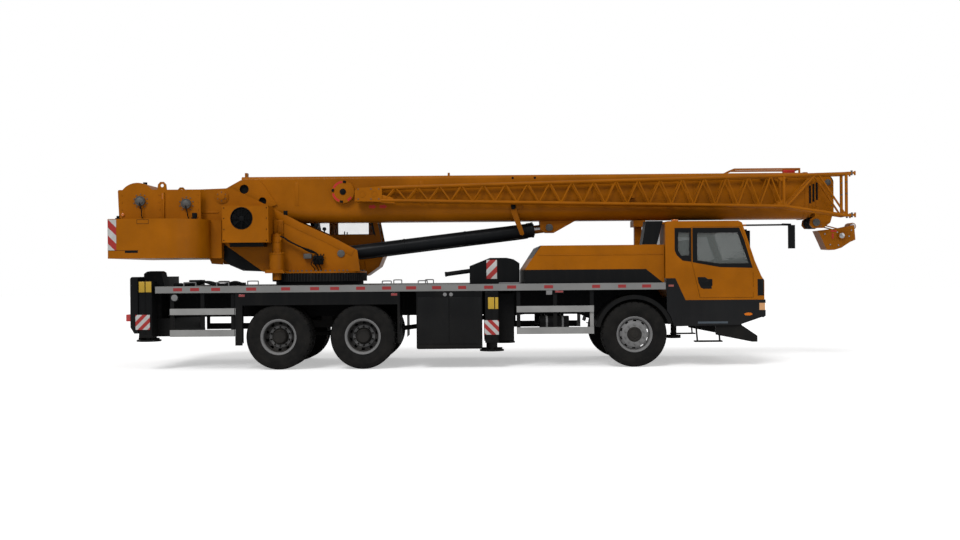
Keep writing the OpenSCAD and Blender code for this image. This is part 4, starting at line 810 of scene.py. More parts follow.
def column_dress():
    """Sleeve bands, striped plates and blank yellow labels on the outrigger columns."""
    for name, x in BEAM_X.items():
        end, side = name.split("_")
        sign = SIDES[side]
        low, high = COLUMN_Z[end]
        body = f"{end}_outrigger_{side}"
        y0, y1 = sign * 1.2375, sign * 1.2445
        bands = Shape()
        for z in (low, high - 0.045):
            bands.slab((x - 0.108, sign * 0.949, z), (x + 0.108, y1, z + 0.045), 0.006)
        for dx in (-0.104, -0.006, 0.092):
            bands.slab((x + dx, y0, low + 0.05), (x + dx + 0.012, y1, high - 0.05), 0.002)
        for z in (low + 0.10, (low + high) / 2, high - 0.14):
            for dx in (-0.085, 0.085):
                bands.pin(x + dx, y0, y1, z, 0.011, 6)
        bands.piece(f"{name}_sleeve_bands", "black", body)
        shift, plate_low, plate_high = PLATE_SPOT[end]
        plate = Shape()
        plate.slab((x + shift - 0.115, y0, plate_low), (x + shift + 0.115, sign * 1.2475, plate_high), 0.002)
        plate.piece(f"{name}_striped_plate", "stripes_up" if end == "rear" else "stripes_down", body)
        label_low, label_high, spans = LABEL_SPOT[end]
        labels = Shape()
        for x0, x1 in spans:
            labels.slab((x + x0, y0, label_low), (x + x1, sign * 1.2472, label_high), 0.002)
        labels.piece(f"{name}_blank_labels", "label", body)
        float_z = 0.465 if end == "rear" else 0.268
        pad = Shape()
        for i in range(6):
            turn = Matrix.Translation((x, sign * JACK_Y, float_z)) @ Matrix.Rotation(math.tau * i / 6, 4, "Z")
            pad.slab((0.088, -0.006, 0.024), (0.170, 0.006, 0.058), 0.002, turn)
        pad.piece(f"{name}_float_ribs", "black", f"{end}_foot_{side}")


def carrier_lamps():
    red = Shape()
    for x in (-4.02, -1.58):
        side_slab(red, x - 0.05, x + 0.05, 1.240, 1.249, 1.175, 1.215, 0.004)
    side_slab(red, -5.888, -5.880, 0.905, 1.195, 0.800, 0.900, 0.003)
    red.piece("tail_lenses", "lens_red", "carrier")


# Crew cab


def frame_between(shape, outer, inner, y0, y1):
    """A flat frame between two outlines with the same number of corners."""
    part = bmesh.new()
    rings = [[part.verts.new((x, y0, z)) for x, z in line] for line in (outer, inner)]
    count = len(outer)
    faces = [part.faces.new((rings[0][i], rings[0][(i + 1) % count], rings[1][(i + 1) % count], rings[1][i]))
             for i in range(count)]
    thicken(part, faces, y1 - y0)
    shape.take(part)


DOOR_TRIM_OUTER = [(3.200, 2.222), (3.950, 2.222), (4.030, 2.020), (4.160, 1.575), (3.640, 1.590), (3.200, 1.672)]
DOOR_TRIM_INNER = [(3.275, 2.142), (3.928, 2.142), (3.985, 1.965), (4.104, 1.648), (3.640, 1.648), (3.275, 1.702)]
QUARTER_OUTER = [(2.915, 2.222), (3.180, 2.222), (3.180, 1.680), (3.040, 1.700), (2.945, 1.790), (2.915, 1.860)]
QUARTER_INNER = [(2.970, 2.150), (3.152, 2.150), (3.152, 1.780), (3.040, 1.780), (3.016, 1.781), (2.970, 1.862)]


def cab_trim():
    for side, sign in SIDES.items():
        y0, y1 = sign * 1.2400, sign * 1.2482
        trim = Shape()
        frame_between(trim, DOOR_TRIM_OUTER, DOOR_TRIM_INNER, y0, y1)
        trim.plate([(3.277, 1.433), (3.400, 1.433), (3.490, 1.360), (3.505, 1.245), (3.372, 1.245), (3.330, 1.262),
                    (3.290, 1.345)], sign * 1.2400, sign * 1.2484, 0.001)
        trim.slab((3.330, sign * 1.2482, 1.352), (3.456, sign * 1.2497, 1.378), 0.0006)
        trim.piece(f"door_trim_{side}", "gloss_black", f"door_{side}")
        quarter = Shape()
        frame_between(quarter, QUARTER_OUTER, QUARTER_INNER, y0, y1)
        quarter.piece(f"quarter_trim_{side}", "gloss_black", "carrier")
    front = Shape()
    tilt = math.atan2(0.200, 2.303 - 1.690)
    screen = Matrix.Translation((4.196, 0, 1.690)) @ Matrix.Rotation(-tilt, 4, "Y")
    for low, high in (((-0.004, -1.20, -0.02), (0.006, 1.20, 0.035)), ((-0.004, -1.20, 0.54), (0.006, 1.20, 0.60)),
                      ((-0.004, -1.20, 0.0), (0.006, -1.150, 0.58)), ((-0.004, 1.150, 0.0), (0.006, 1.20, 0.58))):
        front.slab(low, high, 0.002, screen)
    for y in (-0.75, 0.05):
        front.rod(screen @ Vector((0.012, y, -0.01)), screen @ Vector((0.016, y + 0.62, 0.06)), 0.007, 8)
        front.slab((0.004, y + 0.10, 0.045), (0.018, y + 0.72, 0.060), 0.002, screen)
        front.rod(screen @ Vector((-0.01, y, -0.01)), screen @ Vector((0.03, y, -0.01)), 0.018, 12)
    front.slab((4.343, -0.86, 1.100), (4.352, 0.86, 1.310), 0.004)
    for i in range(5):
        front.slab((4.350, -0.80, 1.125 + i * 0.038), (4.358, 0.80, 1.141 + i * 0.038), 0.003)
    front.slab((3.0, -1.10, 2.3325), (3.86, 1.10, 2.3345), 0.0008)
    for y in (-0.9, -0.3, 0.3, 0.9):
        front.slab((2.98, y - 0.02, 2.332), (3.88, y + 0.02, 2.345), 0.004)
    side_slab(front, 4.237, 4.338, 1.2385, 1.2478, 1.130, 1.396, 0.003)
    side_slab(front, 4.190, 4.215, 1.140, 1.236, 1.620, 1.660, 0.006)
    front.piece("cab_front_trim", "gloss_black", "carrier")
    top = Shape()
    for y in (-0.95, 0.0, 0.95):
        top.slab((2.92, y - 0.06, 2.333), (3.02, y + 0.06, 2.372), 0.012)
    top.piece("cab_roof_lamps", "lens_orange", "carrier")


# Hood


def hood_dress():
    black = Shape()
    for i in range(7):
        x = 1.30 + i * 0.11
        black.slab((x, -0.62, 1.958), (x + 0.07, 0.62, 1.972), 0.005)
    black.piece("hood_louvres", "black", "carrier")
    crease = Shape()
    side_slab(crease, 0.72, 2.74, 1.178, 1.188, 1.800, 1.816, 0.003)
    crease.piece("hood_crease", "amber", "carrier")


# Lockers and guards


def locker_dress():
    black = Shape()
    for x0, x1 in ((-1.205, -0.715), (-0.695, -0.195)):
        side_slab(black, x0, x1, 1.241, 1.248, 0.400, 1.140, 0.003)
    for x in (-0.78, -0.66):
        side_slab(black, x - 0.03, x + 0.03, 1.245, 1.249, 0.72, 0.84, 0.0015)
    black.piece("locker_doors", "gloss_black", "carrier")
    strip = Shape()
    side_slab(strip, -1.20, -0.20, 1.245, 1.249, 0.335, 0.375, 0.0015)
    strip.piece("locker_kick_strip", "guard", "carrier")


# Deck


def deck_dress():
    """Pale handles, hoses, small lamps and plates along the deck's edge."""
    pale = Shape()
    for sign in (-1, 1):
        for x0, x1 in ((-4.955, -4.763), (-4.427, -4.235), (-1.771, -1.627), (-1.195, -1.051)):
            y = sign * 1.205
            pale.path([(x0, y, DECK_Z - 0.004), (x0, y, DECK_Z + 0.048), (x0 + 0.012, y, DECK_Z + 0.060),
                       (x1 - 0.012, y, DECK_Z + 0.060), (x1, y, DECK_Z + 0.048), (x1, y, DECK_Z - 0.004)], 0.009,
                       10, 3)
        for x in (-0.768, -0.670):
            pale.pin(x, sign * 1.243, sign * 1.2493, 1.187, 0.030, 24, edge=0.002)
        pale.pin(-5.099, sign * 1.175, sign * 1.240, 1.168, 0.054, 28, edge=0.006)
        side_slab(pale, 0.853, 0.949, 1.190, 1.246, 1.170, RAIL_LOW_Z - 0.001, 0.006, (sign,))
    side_slab(pale, 0.100, 0.430, 1.080, 1.215, DECK_Z, DECK_Z + 0.022, 0.004, (-1,))
    pale.piece("deck_handles", "rim", "carrier")
    black = Shape()
    for sign in (-1, 1):
        for x in (-0.768, -0.670):
            black.lathe([(0.029, 0.0), (0.037, 0.0), (0.037, 0.004), (0.029, 0.004)],
                        turned((x, sign * 1.246 - 0.002, 1.187), -90, "X"), 28)
        black.lathe([(0.050, -0.060), (0.062, -0.050), (0.062, 0.004), (0.052, 0.004)],
                    turned((-5.099, sign * 1.236, 1.168), -90 * sign, "X"), 32)
        side_slab(black, -5.112, -5.086, 1.195, 1.215, 1.215, RAIL_LOW_Z - 0.001, 0.002, (sign,))
        side_slab(black, 0.985, 1.137, 1.185, 1.2445, 1.196, RAIL_LOW_Z - 0.001, 0.004, (sign,))
        for x in (-5.2, -4.6, -1.9, -1.0, 0.7, 1.7, 2.6):
            side_slab(black, x, x + 0.006, 0.700, 1.215, DECK_Z - 0.001, DECK_Z + 0.002, 0.0, (sign,))
    black.piece("deck_edge_fittings", "black", "carrier")
    red = Shape()
    side_slab(red, 0.997, 1.125, 1.240, 1.2488, 1.204, 1.236, 0.003)
    red.piece("deck_edge_lamps", "lens_red", "carrier")
    hoses = Shape()
    hoses.path([(-5.140, -0.980, 1.372), (-4.960, -0.930, 1.384), (-4.760, -0.900, 1.432), (-4.560, -0.960, 1.384),
                (-4.360, -0.930, 1.374), (-4.200, -0.880, 1.410), (-4.060, -0.900, 1.372)], 0.021, 12, 8)
    hoses.path([(-5.100, -0.900, 1.370), (-4.880, -0.850, 1.372), (-4.660, -0.840, 1.418), (-4.430, -0.880, 1.372),
                (-4.230, -0.820, 1.372), (-4.100, -0.800, 1.376)], 0.018, 12, 8)
    hoses.lathe([(0.026, -0.010), (0.041, -0.010), (0.041, 0.012), (0.026, 0.012)],
                turned((-0.760, -0.900, 1.510), 82.5, "Y"), 28)
    for x, y in ((-5.140, -0.980), (-5.100, -0.900), (-4.060, -0.900), (-4.100, -0.800)):
        hoses.slab((x - 0.035, y - 0.030, DECK_Z - 0.002), (x + 0.035, y + 0.030, 1.402), 0.006)
    hoses.piece("deck_hoses", "black", "carrier")
    band = Shape()
    band.slab((-0.098, -1.0550, 1.430), (0.072, -1.0492, 1.738), 0.002)
    band.slab((-0.098, 1.0492, 1.430), (0.072, 1.0550, 1.738), 0.002)
    band.piece("front_cover_band", "stripes_cover", "carrier")
    tread = Shape()
    side_slab(tread, 3.277, 3.757, 1.150, 1.2460, 0.690, 0.716, 0.003)
    for i in range(11):
        side_slab(tread, 3.292 + i * 0.043, 3.310 + i * 0.043, 1.155, 1.2440, 0.715, 0.722, 0.002)
    tread.piece("cab_step_treads", "stone", "carrier")
    liner = Shape()
    side_slab(liner, 2.080, 2.620, 0.600, 0.604, 1.040, 1.238, 0.001)
    liner.piece("arch_liners", "black", "carrier")
    straps = Shape()
    for sign in (-1, 1):
        for x in (0.880, 1.140):
            straps.lathe([(0.1045, -0.016), (0.1085, -0.016), (0.1085, 0.016), (0.1045, 0.016)],
                         turned((x, sign * 0.820, 0.712), 90, "Y"), 40)
        for x in (0.770, 1.235):
            straps.lathe([(0.0, -0.004), (0.050, -0.004), (0.050, 0.004), (0.0, 0.004)],
                         turned((x, sign * 0.820, 0.712), 90, "Y"), 32)
    straps.piece("tank_straps", "rim", "carrier")


# Counterweight and winches


def weight_dress():
    corner = [(-6.020, 1.2495), (-6.1533, 1.2495), (-6.1737, 1.1955), (-6.1934, 1.1405), (-6.1895, 1.1390),
              (-6.1700, 1.1940), (-6.1500, 1.2465), (-6.020, 1.2465)]
    stripes = Shape()
    for sign in (-1, 1):
        stripes.plate([(x, sign * y) for x, y in corner], 1.935, 2.429, 0.0, FLAT)
    stripes.piece("weight_corner_bands", "stripes_wide", "superstructure")
    dark = Shape()
    side_slab(dark, -6.150, -5.670, 1.2465, 1.2486, 1.928, 1.934)
    side_slab(dark, -5.883, -5.675, 1.2465, 1.2488, 1.892, 1.929, 0.0006)
    for z0, z1 in ((2.356, 2.362), (2.422, 2.428)):
        side_slab(dark, -5.691, -5.499, 1.2470, 1.2490, z0, z1)
    for x0, x1 in ((-5.691, -5.685), (-5.505, -5.499)):
        side_slab(dark, x0, x1, 1.2470, 1.2490, 2.356, 2.428)
    for sign in (-1, 1):
        for x in (-6.100, -4.860):
            dark.rod((x, sign * 0.900, 2.436), (x, sign * 0.900, 2.470), 0.045, 6)
            dark.rod((x, sign * 0.900, 2.468), (x, sign * 0.900, 2.505), 0.024, 16, edge=0.003)
    dark.piece("weight_seams", "black", "superstructure")


def rope_coils(shape, x, z, radius, pitch=0.0145, half=0.325):
    count = int(2 * half / pitch)
    line = [(0.118, -half)]
    for i in range(count):
        h = -half + (i + 0.5) * pitch
        line += [(radius - 0.006, h - pitch * 0.48), (radius, h), (radius - 0.006, h + pitch * 0.48)]
    line.append((0.118, half))
    shape.lathe(line, turned((x, 0, z), -90, "X"), 40)


def winch_dress():
    rope = Shape()
    for x, z in WINCHES:
        rope_coils(rope, x, z, 0.158)
    rope.piece("winch_rope", "steel", "superstructure", crease=60)
    dark = Shape()
    hoses = Shape()
    for x, z in WINCHES:
        for sign in (-1, 1):
            outer = turned((x, sign * 0.679, z), -90 * sign, "X")
            dark.lathe([(0.0, -0.004), (0.060, -0.004), (0.058, 0.006), (0.040, 0.018), (0.0, 0.022)], outer, 32)
            bolt_heads(dark, ring_spots(x, sign * 0.679, z, 0.070, 8), (0, sign, 0), 0.006, 0.006)
            bolt_heads(dark, ring_spots(x, sign * 0.620, z, 0.115, 10), (0, sign, 0), 0.010, 0.010)
            hoses.path([(x, sign * 0.690, z - 0.020), (x + 0.010, sign * 0.694, z - 0.080),
                        (x + 0.030, sign * 0.684, z - 0.160), (x + 0.030, sign * 0.664, 2.510),
                        (x + 0.045, sign * 0.640, 2.442)], 0.009, 10, 6)
    dark.piece("winch_caps", "stone", "superstructure")
    side_slab(hoses, -4.960, -4.880, 0.618, 0.640, 2.470, 2.560, 0.006)
    hoses.piece("winch_hoses", "black", "superstructure")
    amber = Shape()
    for sign in (-1, 1):
        for x in (-6.120, -5.500, -4.860):
            bolt_heads(amber, [(x, sign * 0.620, z) for z in (2.50, 2.62, 2.74, 2.86)], (0, sign, 0), 0.011, 0.008)
        side_slab(amber, -5.440, -5.415, 0.5955, 0.650, 2.441, 2.900, 0.003, (sign,))
    amber.piece("winch_frame_bolts", "amber", "superstructure")
    lamps = Shape()
    for sign in (-1, 1):
        lamps.pin(-6.105, sign * 0.615, sign * 0.645, 2.538, 0.026, 24, edge=0.004)
    side_slab(lamps, -5.455, -5.425, 0.618, 0.634, 2.790, 2.890, 0.003)
    lamps.piece("winch_lamps", "lens_orange", "superstructure")


# Oil cooler


def cooler_dress():
    spot = turned((FAN[0], -0.9003, FAN[1]), 90, "X")
    guard = Shape()
    guard.lathe([(0.166, -0.055), (0.180, -0.002), (0.182, 0.006), (0.172, 0.008), (0.162, -0.040)], spot, 64)
    for radius in (0.045, 0.070, 0.095, 0.120, 0.145):
        guard.lathe([(radius - 0.003, 0.000), (radius + 0.003, 0.000), (radius + 0.003, 0.006),
                     (radius - 0.003, 0.006)], spot, 48)
    for i in range(8):
        turn = spot @ Matrix.Rotation(math.tau * i / 8, 4, "Z")
        guard.slab((0.030, -0.004, -0.002), (0.174, 0.004, 0.003), 0.0, turn)
    guard.lathe([(0.0, -0.050), (0.040, -0.050), (0.040, 0.003), (0.030, 0.008), (0.0, 0.009)], spot, 32)
    for i in range(7):
        blade = spot @ Matrix.Rotation(math.tau * i / 7, 4, "Z") @ Matrix.Rotation(math.radians(28), 4, "X")
        guard.slab((0.036, -0.032, -0.032), (0.158, 0.032, -0.028), 0.001, blade @ Matrix.Translation((0, 0, 0.004)))
    for x in (-4.375, -3.680):
        bolt_heads(guard, [(x, -0.900, z) for z in (2.09, 2.27, 2.45, 2.62)], (0, -1, 0), 0.009, 0.007)
    guard.piece("cooler_fan", "black", "superstructure")


# Turntable


def turntable_dress():
    strip = [(-3.620, 2.614), (-3.209, 2.396), (-2.691, 2.156), (-2.290, 1.940), (-2.348, 1.829), (-2.749, 2.045),
             (-3.267, 2.285), (-3.620, 2.473)]
    amber = Shape()
    amber.plate(strip, -0.4640, -0.4730, 0.002)
    amber.plate(strip, 0.4640, 0.4676, 0.001)
    side_slab(amber, -3.645, -3.476, 0.464, 0.500, 2.191, 2.440, 0.008, (-1,))
    for x in (-3.625, -3.560, -3.500):
        side_slab(amber, x, x + 0.012, 0.498, 0.512, 2.210, 2.420, 0.002, (-1,))
    for x0, x1, z0, z1 in ((-4.870, -4.560, 2.560, 2.590), (-4.870, -4.845, 1.850, 2.560)):
        side_slab(amber, x0, x1, 0.464, 0.474, z0, z1, 0.003, (-1,))
    for sign in (-1, 1):
        y0, y1 = sign * 0.484, sign * 0.497
        amber.pin(-4.500, y0, y1, 2.835, 0.090, 40, edge=0.004)
        amber.pin(-4.500, sign * 0.500, sign * 0.512, 2.835, 0.056, 32, edge=0.004)
    amber.piece("turntable_strips", "amber", "superstructure")
    iron = Shape()
    for sign in (-1, 1):
        bolt_heads(iron, ring_spots(-4.500, sign * 0.497, 2.835, 0.074, 6), (0, sign, 0), 0.008, 0.008)
    for x, y, z in ring_spots(SLEW_X, 0, 1.574, 0.748, 60, "XY"):
        if min(abs(abs(y) - 0.452), abs(abs(y) - 0.150)) > 0.035 and not (x < -3.40 and y < -0.42):
            iron.rod((x, y, z), (x, y, z + 0.022), 0.014, 6)
    side_slab(iron, -3.134, -3.002, 0.464, 0.560, 1.788, 1.871, 0.006, (-1,))
    iron.pin(-2.520, -0.462, -0.486, 1.869, 0.062, 32, edge=0.006)
    bolt_heads(iron, ring_spots(-2.520, -0.486, 1.869, 0.042, 4), (0, -1, 0), 0.008, 0.007)
    iron.piece("turntable_bolts", "stone", "superstructure")
    valves = Shape()
    side_slab(valves, -2.975, -2.813, 0.464, 0.540, 1.690, 1.838, 0.006, (-1,))
    for i in range(4):
        x = -2.965 + i * 0.048
        valves.pin(x + 0.017, -0.538, -0.575, 1.800 - 0.03 * (i % 2), 0.015, 12)
        valves.rod((x + 0.017, -0.510, 1.836), (x + 0.017, -0.510, 1.870), 0.009, 12)
    for shift in (0.0, 0.055, 0.110):
        valves.path([(-2.955 + shift, -0.560, 1.785), (-2.975 + shift, -0.600, 1.760),
                     (-3.000 + shift * 1.2, -0.590, 1.690), (-2.965 + shift, -0.540, 1.640),
                     (-2.950 + shift, -0.500, 1.590)], 0.0085, 8, 6)
    for shift in (0.0, 0.040, 0.080):
        valves.path([(-3.540, -0.640 + shift, 2.130), (-3.470, -0.650 + shift, 2.150),
                     (-3.360, -0.620 + shift, 2.075),
                     (-3.180, -0.600 + shift * 0.5, 1.985), (-3.020, -0.580, 1.930 - shift * 0.4),
                     (-2.930, -0.555 + shift * 0.3, 1.880), (-2.900, -0.550 + shift * 0.3, 1.830)], 0.012, 10, 6)
    for x, z in ((-2.930, 2.285), (-2.796, 2.222)):
        valves.rod((x, -0.452, z - 0.030), (x, -0.452, z + 0.045), 0.010, 10)
        valves.pin(x - 0.001, -0.425, -0.480, z + 0.060, 0.031, 24, edge=0.004)
    valves.slab((-3.475, -0.476, 2.520), (-3.410, -0.440, 2.592), 0.006)
    valves.piece("turntable_valves", "black", "superstructure")
    motor = Shape()
    for z0, z1, radius in ((1.862, 1.888, 0.128), (1.952, 1.964, 0.084), (2.060, 2.074, 0.084),
                           (2.168, 2.186, 0.082)):
        motor.rod((-3.568, -0.616, z0), (-3.568, -0.616, z1), radius, 40, edge=0.003)
    bolt_heads(motor, ring_spots(-3.568, -0.616, 1.888, 0.106, 12, "XY"), (0, 0, 1), 0.010, 0.010)
    motor.slab((-3.568, -0.660, 2.090), (-3.480, -0.572, 2.160), 0.006)
    motor.rod((-3.568, -0.616, 2.186), (-3.568, -0.616, 2.215), 0.034, 20, edge=0.005)
    motor.piece("slewing_motor_bands", "amber", "superstructure")


# Operator's cab


def operator_dress():
    panel = Shape()
    panel.plate([(-3.400, 1.930), (-3.400, 2.215), (-2.050, 2.215), (-1.985, 1.930)], 0.4680, 0.4712)
    panel.piece("operator_cab_panel", "amber", "superstructure")
    rubber = Shape()
    outer = [(-3.405, 2.196), (-3.405, 2.928), (-2.190, 2.928), (-2.026, 2.196)]
    inner = [(-3.372, 2.222), (-3.372, 2.892), (-2.218, 2.892), (-2.068, 2.222)]
    frame_between(rubber, outer, inner, 0.4684, 0.4716)
    screen = Matrix.Translation((-1.881, 0, 1.860)) @ Matrix.Rotation(-math.atan2(0.230, 1.160), 4, "Y")
    for y0, y1, z0, z1 in ((0.497, 1.180, 0.036, 0.066), (0.497, 1.180, 1.114, 1.144), (0.497, 0.527, 0.036, 1.144),
                           (1.150, 1.180, 0.036, 1.144)):
        rubber.slab((-0.004, y0, z0), (0.006, y1, z1), 0.002, screen)
    rubber.rod(screen @ Vector((0.014, 0.840, 1.120)), screen @ Vector((0.018, 0.640, 0.700)), 0.007, 10)
    rubber.slab((0.002, 0.610, 0.420), (0.014, 0.630, 0.900), 0.002, screen)
    rubber.slab((0.000, 0.790, 1.095), (0.040, 0.890, 1.150), 0.008, screen)
    for i in range(6):
        rubber.slab((-3.150 + i * 0.075, 0.640, 3.048), (-3.110 + i * 0.075, 1.040, 3.064), 0.004)
    rubber.slab((-3.200, 0.600, 3.048), (-2.660, 1.080, 3.056), 0.003)
    for y in (0.560, 1.110):
        rubber.rod((-2.180, y, 3.000), (-2.180, y, 3.075), 0.010, 10)
    rubber.piece("operator_cab_seals", "gloss_black", "superstructure")
    lamps = Shape()
    for y in (0.560, 1.110):
        lamps.rod((-2.205, y, 3.085), (-2.150, y, 3.078), 0.034, 24, edge=0.005)
    lamps.piece("operator_cab_lamps", "lens_pale", "superstructure")
    door = Shape()
    frame_between(door, [(-2.808, 1.972), (-2.808, 2.888), (-2.192, 2.888), (-2.192, 1.972)],
                  [(-2.776, 2.004), (-2.776, 2.856), (-2.224, 2.856), (-2.224, 2.004)], 1.2390, 1.2440)
    door.slab((-2.330, 1.2385, 1.820), (-2.200, 1.2455, 1.900), 0.003)
    door.slab((-2.318, 1.2450, 1.850), (-2.212, 1.2496, 1.874), 0.0015)
    door.piece("sliding_door_trim", "gloss_black", "sliding_door")


# Boom


def boom_dress():
    dark = Shape()
    spot = turned((REEL[0], -0.4178, REEL[1]), 90, "X")
    dark.lathe([(0.0, -0.004), (0.052, -0.004), (0.052, 0.010), (0.034, 0.020), (0.0, 0.020)], spot, 32)
    for turn in (80, 172, 262):
        place = spot @ Matrix.Rotation(math.radians(turn), 4, "Z")
        dark.slab((0.150, -0.024, -0.004), (0.188, 0.024, 0.016), 0.004, place)
    dark.slab((0.330, -0.392, 2.590), (0.392, -0.370, 2.690), 0.005)
    for x in (0.360, 0.730):
        for sign in (-1, 1):
            dark.pin(x, sign * 0.338, sign * 0.3415, 3.119, 0.020, 24)
    for sign in (-1, 1):
        for x, z, radius in ((-4.151, 2.964, 0.086), (-3.844, 2.760, 0.074)):
            dark.rod((x, sign * 0.3135, z), (x, sign * 0.3175, z), radius, 40)
    dark.piece("boom_reel_and_rollers", "black", "boom")
    red = Shape()
    for start, end in ((1.62, 2.75), (3.30, 4.35), (5.20, 5.70)):
        turns = [start + (end - start) * k / 12 for k in range(13)]
        band = [(0.182 * math.cos(t), 0.182 * math.sin(t)) for t in turns]
        band += [(0.146 * math.cos(t), 0.146 * math.sin(t)) for t in reversed(turns)]
        red.plate([(REEL[0] + a, REEL[1] + b) for a, b in band], -0.4170, -0.4215)
    for x in (-2.050, -1.870):
        for sign in (-1, 1):
            red.plate([(x - 0.010, 2.630), (x + 0.060, 2.630), (x + 0.060, 2.612), (x + 0.115, 2.655),
                       (x + 0.060, 2.698), (x + 0.060, 2.680), (x - 0.010, 2.680)], sign * 0.3390, sign * 0.3412)
    red.slab((4.990, -0.045, 3.172), (5.190, 0.045, 3.258), 0.012)
    red.piece("boom_red_marks", "red", "boom")
    rope = Shape()
    for y in (-0.075, 0.075):
        rope.path([(-4.150, y, 3.180), (5.322, y, 3.180)], 0.0065, 10, 1)
    rope.piece("hoist_rope_on_boom", "steel", "boom")
    steel = Shape()
    for sign in (-1, 1):
        x, z = ROD_EYE
        steel.pin(x, sign * 0.158, sign * 0.174, z, 0.062, 32, edge=0.005)
        bolt_heads(steel, [(x + dx, sign * 0.174, z) for dx in (-0.030, 0.030)], (0, sign, 0), 0.009, 0.008)
        for x in (4.120, 5.215):
            bolt_heads(steel, [(x, sign * 0.184, 3.250)], (0, 0, 1), 0.010, 0.008)
        for x in (5.287, 5.306):
            bolt_heads(steel, [(x, sign * 0.3400, z) for z in (2.62, 2.78, 2.94, 3.10)], (0, sign, 0), 0.008, 0.008)
    steel.piece("boom_pins", "stone", "boom")
    amber = Shape()
    for sign in (-1, 1):
        for x in (-3.300, -1.200, 1.700, 3.400):
            side_slab(amber, x, x + 0.060, 0.3385, 0.3460, 2.680, 3.080, 0.003, (sign,))
    side_slab(amber, 0.335, 0.520, 0.3385, 0.372, 2.600, 2.716, 0.006, (-1,))
    for x, z in ((-2.131, 2.845), (-1.933, 2.850)):
        amber.lathe([(0.040, -0.003), (0.056, -0.003), (0.056, 0.005), (0.040, 0.005)],
                    turned((x, -0.710, z), 90, "X"), 32)
    amber.plate([(0.300, 2.705), (0.400, 2.705), (0.425, 2.560), (0.545, 2.180), (0.520, 2.152), (0.478, 2.160),
                 (0.335, 2.520)], -0.3520, -0.3720, 0.003)
    side_slab(amber, 4.520, 4.960, 0.3385, 0.372, 3.060, 3.120, 0.006, (-1,))
    amber.piece("boom_side_stiffeners", "amber", "boom")


def jib_dress():
    """Gussets, node plates and pins of the stowed lattice jib."""
    amber = Shape()
    for y in JIB_TRUSSES:
        gusset = [(4.690, 2.565), (4.900, 2.560), (4.870, 2.640), (4.800, 2.700), (4.730, 2.650)]
        amber.plate(gusset, y - 0.006, y + 0.006, 0.002)
        top = [(4.690, 3.115), (4.900, 3.120), (4.860, 3.050), (4.790, 3.000), (4.720, 3.050)]
        amber.plate(top, y - 0.006, y + 0.006, 0.002)
        tail = [(-1.830, 2.700), (-1.600, 2.690), (-1.640, 2.780), (-1.830, 2.840)]
        amber.plate(tail, y - 0.006, y + 0.006, 0.002)
        for z0, z1 in ((2.395, 2.475), (3.090, 3.160)):
            amber.slab((5.980, y - 0.016, z0), (6.004, y + 0.016, z1), 0.003)
    amber.piece("jib_gussets", "amber", "boom")
    steel = Shape()
    for y in JIB_TRUSSES:
        for z in (2.436, 3.130):
            steel.rod((5.940, y, z - 0.040), (5.940, y, z + 0.040), 0.017, 20, edge=0.003)
        bolt_heads(steel, [(5.850, y - 0.026, z) for z in (2.790, 2.980)], (0, -1, 0), 0.012, 0.010)
        for x in (-2.200, -1.990, -1.860):
            bolt_heads(steel, [(x, -0.710 if y < -0.5 else -0.410, z) for z in (2.760, 2.925)],
                       (0, -1 if y < -0.5 else 1, 0), 0.011, 0.009)
    steel.piece("jib_pins", "stone", "boom")


def head_dress():
    for n, body in ((1, "boom_2"), (2, "boom_3"), (3, "boom_4")):
        front = 5.324 + 0.066 * n
        half = 0.340 - 0.030 * n + 0.009
        low = 2.402 + 0.030 * n
        dark = Shape()
        for sign in (-1, 1):
            side_slab(dark, front - 0.046, front - 0.012, half - 0.002, half + 0.004, low + 0.22, low + 0.52, 0.002,
                      (sign,))
            bolt_heads(dark, [(front - 0.029, sign * (half + 0.004), low + z) for z in (0.26, 0.37, 0.48)],
                       (0, sign, 0), 0.008, 0.007)
        dark.piece(f"collar_pads_{n + 1}", "black", body)
    head = Shape()
    for sign in (-1, 1):
        for x, z, radius in ((5.480, 2.335, 0.062), (5.680, 3.010, 0.052)):
            head.rod((x, sign * 0.2605, z), (x, sign * 0.274, z), radius, 32, edge=0.004)
            bolt_heads(head, ring_spots(x, sign * 0.274, z, radius * 0.66, 4), (0, sign, 0), 0.008, 0.007)
        bolt_heads(head, [(x, sign * 0.250, z) for x, z in ((5.740, 2.62), (5.740, 2.78), (5.740, 2.94),
                                                            (5.560, 3.135),
                                                           (5.640, 3.135), (5.560, 2.280))], (0, sign, 0), 0.010,
                                                           0.009)
    head.piece("head_pin_caps", "stone", "boom_4")
    rope = Shape()
    for y in (-0.100, 0.100):
        rope.path([(5.540, y, 3.182), (5.640, y, 3.158), (5.700, y, 3.150), (5.770, y, 3.118), (5.812, y, 3.060),
                   (5.818, y, 3.000), (5.800, y, 2.930), (5.740, y, 2.800), (5.600, y * 1.3, 2.500),
                   (5.574, y * 1.5, 2.380)], 0.007, 10, 6)
    rope.piece("head_rope", "steel", "boom_4")
    hook = Shape()
    for sign in (-1, 1):
        hook.pin(6.136, sign * 0.118, sign * 0.130, 2.270, 0.048, 32, edge=0.004)
        hook.pin(5.930, sign * 0.198, sign * 0.210, 2.110, 0.046, 32, edge=0.004)
        bolt_heads(hook, [(x, sign * 0.165, z) for x, z in ((5.650, 2.140), (5.740, 1.960), (5.860, 2.170),
                                                            (6.060, 2.100), (6.100, 2.200), (5.880, 1.950))],
                   (0, sign, 0), 0.013, 0.011)
    hook.piece("hook_pin_caps", "steel", "boom_4")
    red = Shape()
    side_slab(red, 5.750, 5.850, 0.164, 0.1675, 2.175, 2.205, 0.001)
    side_slab(red, 5.770, 5.800, 0.164, 0.1675, 2.060, 2.150, 0.001)
    red.piece("hook_red_marks", "red", "boom_4")


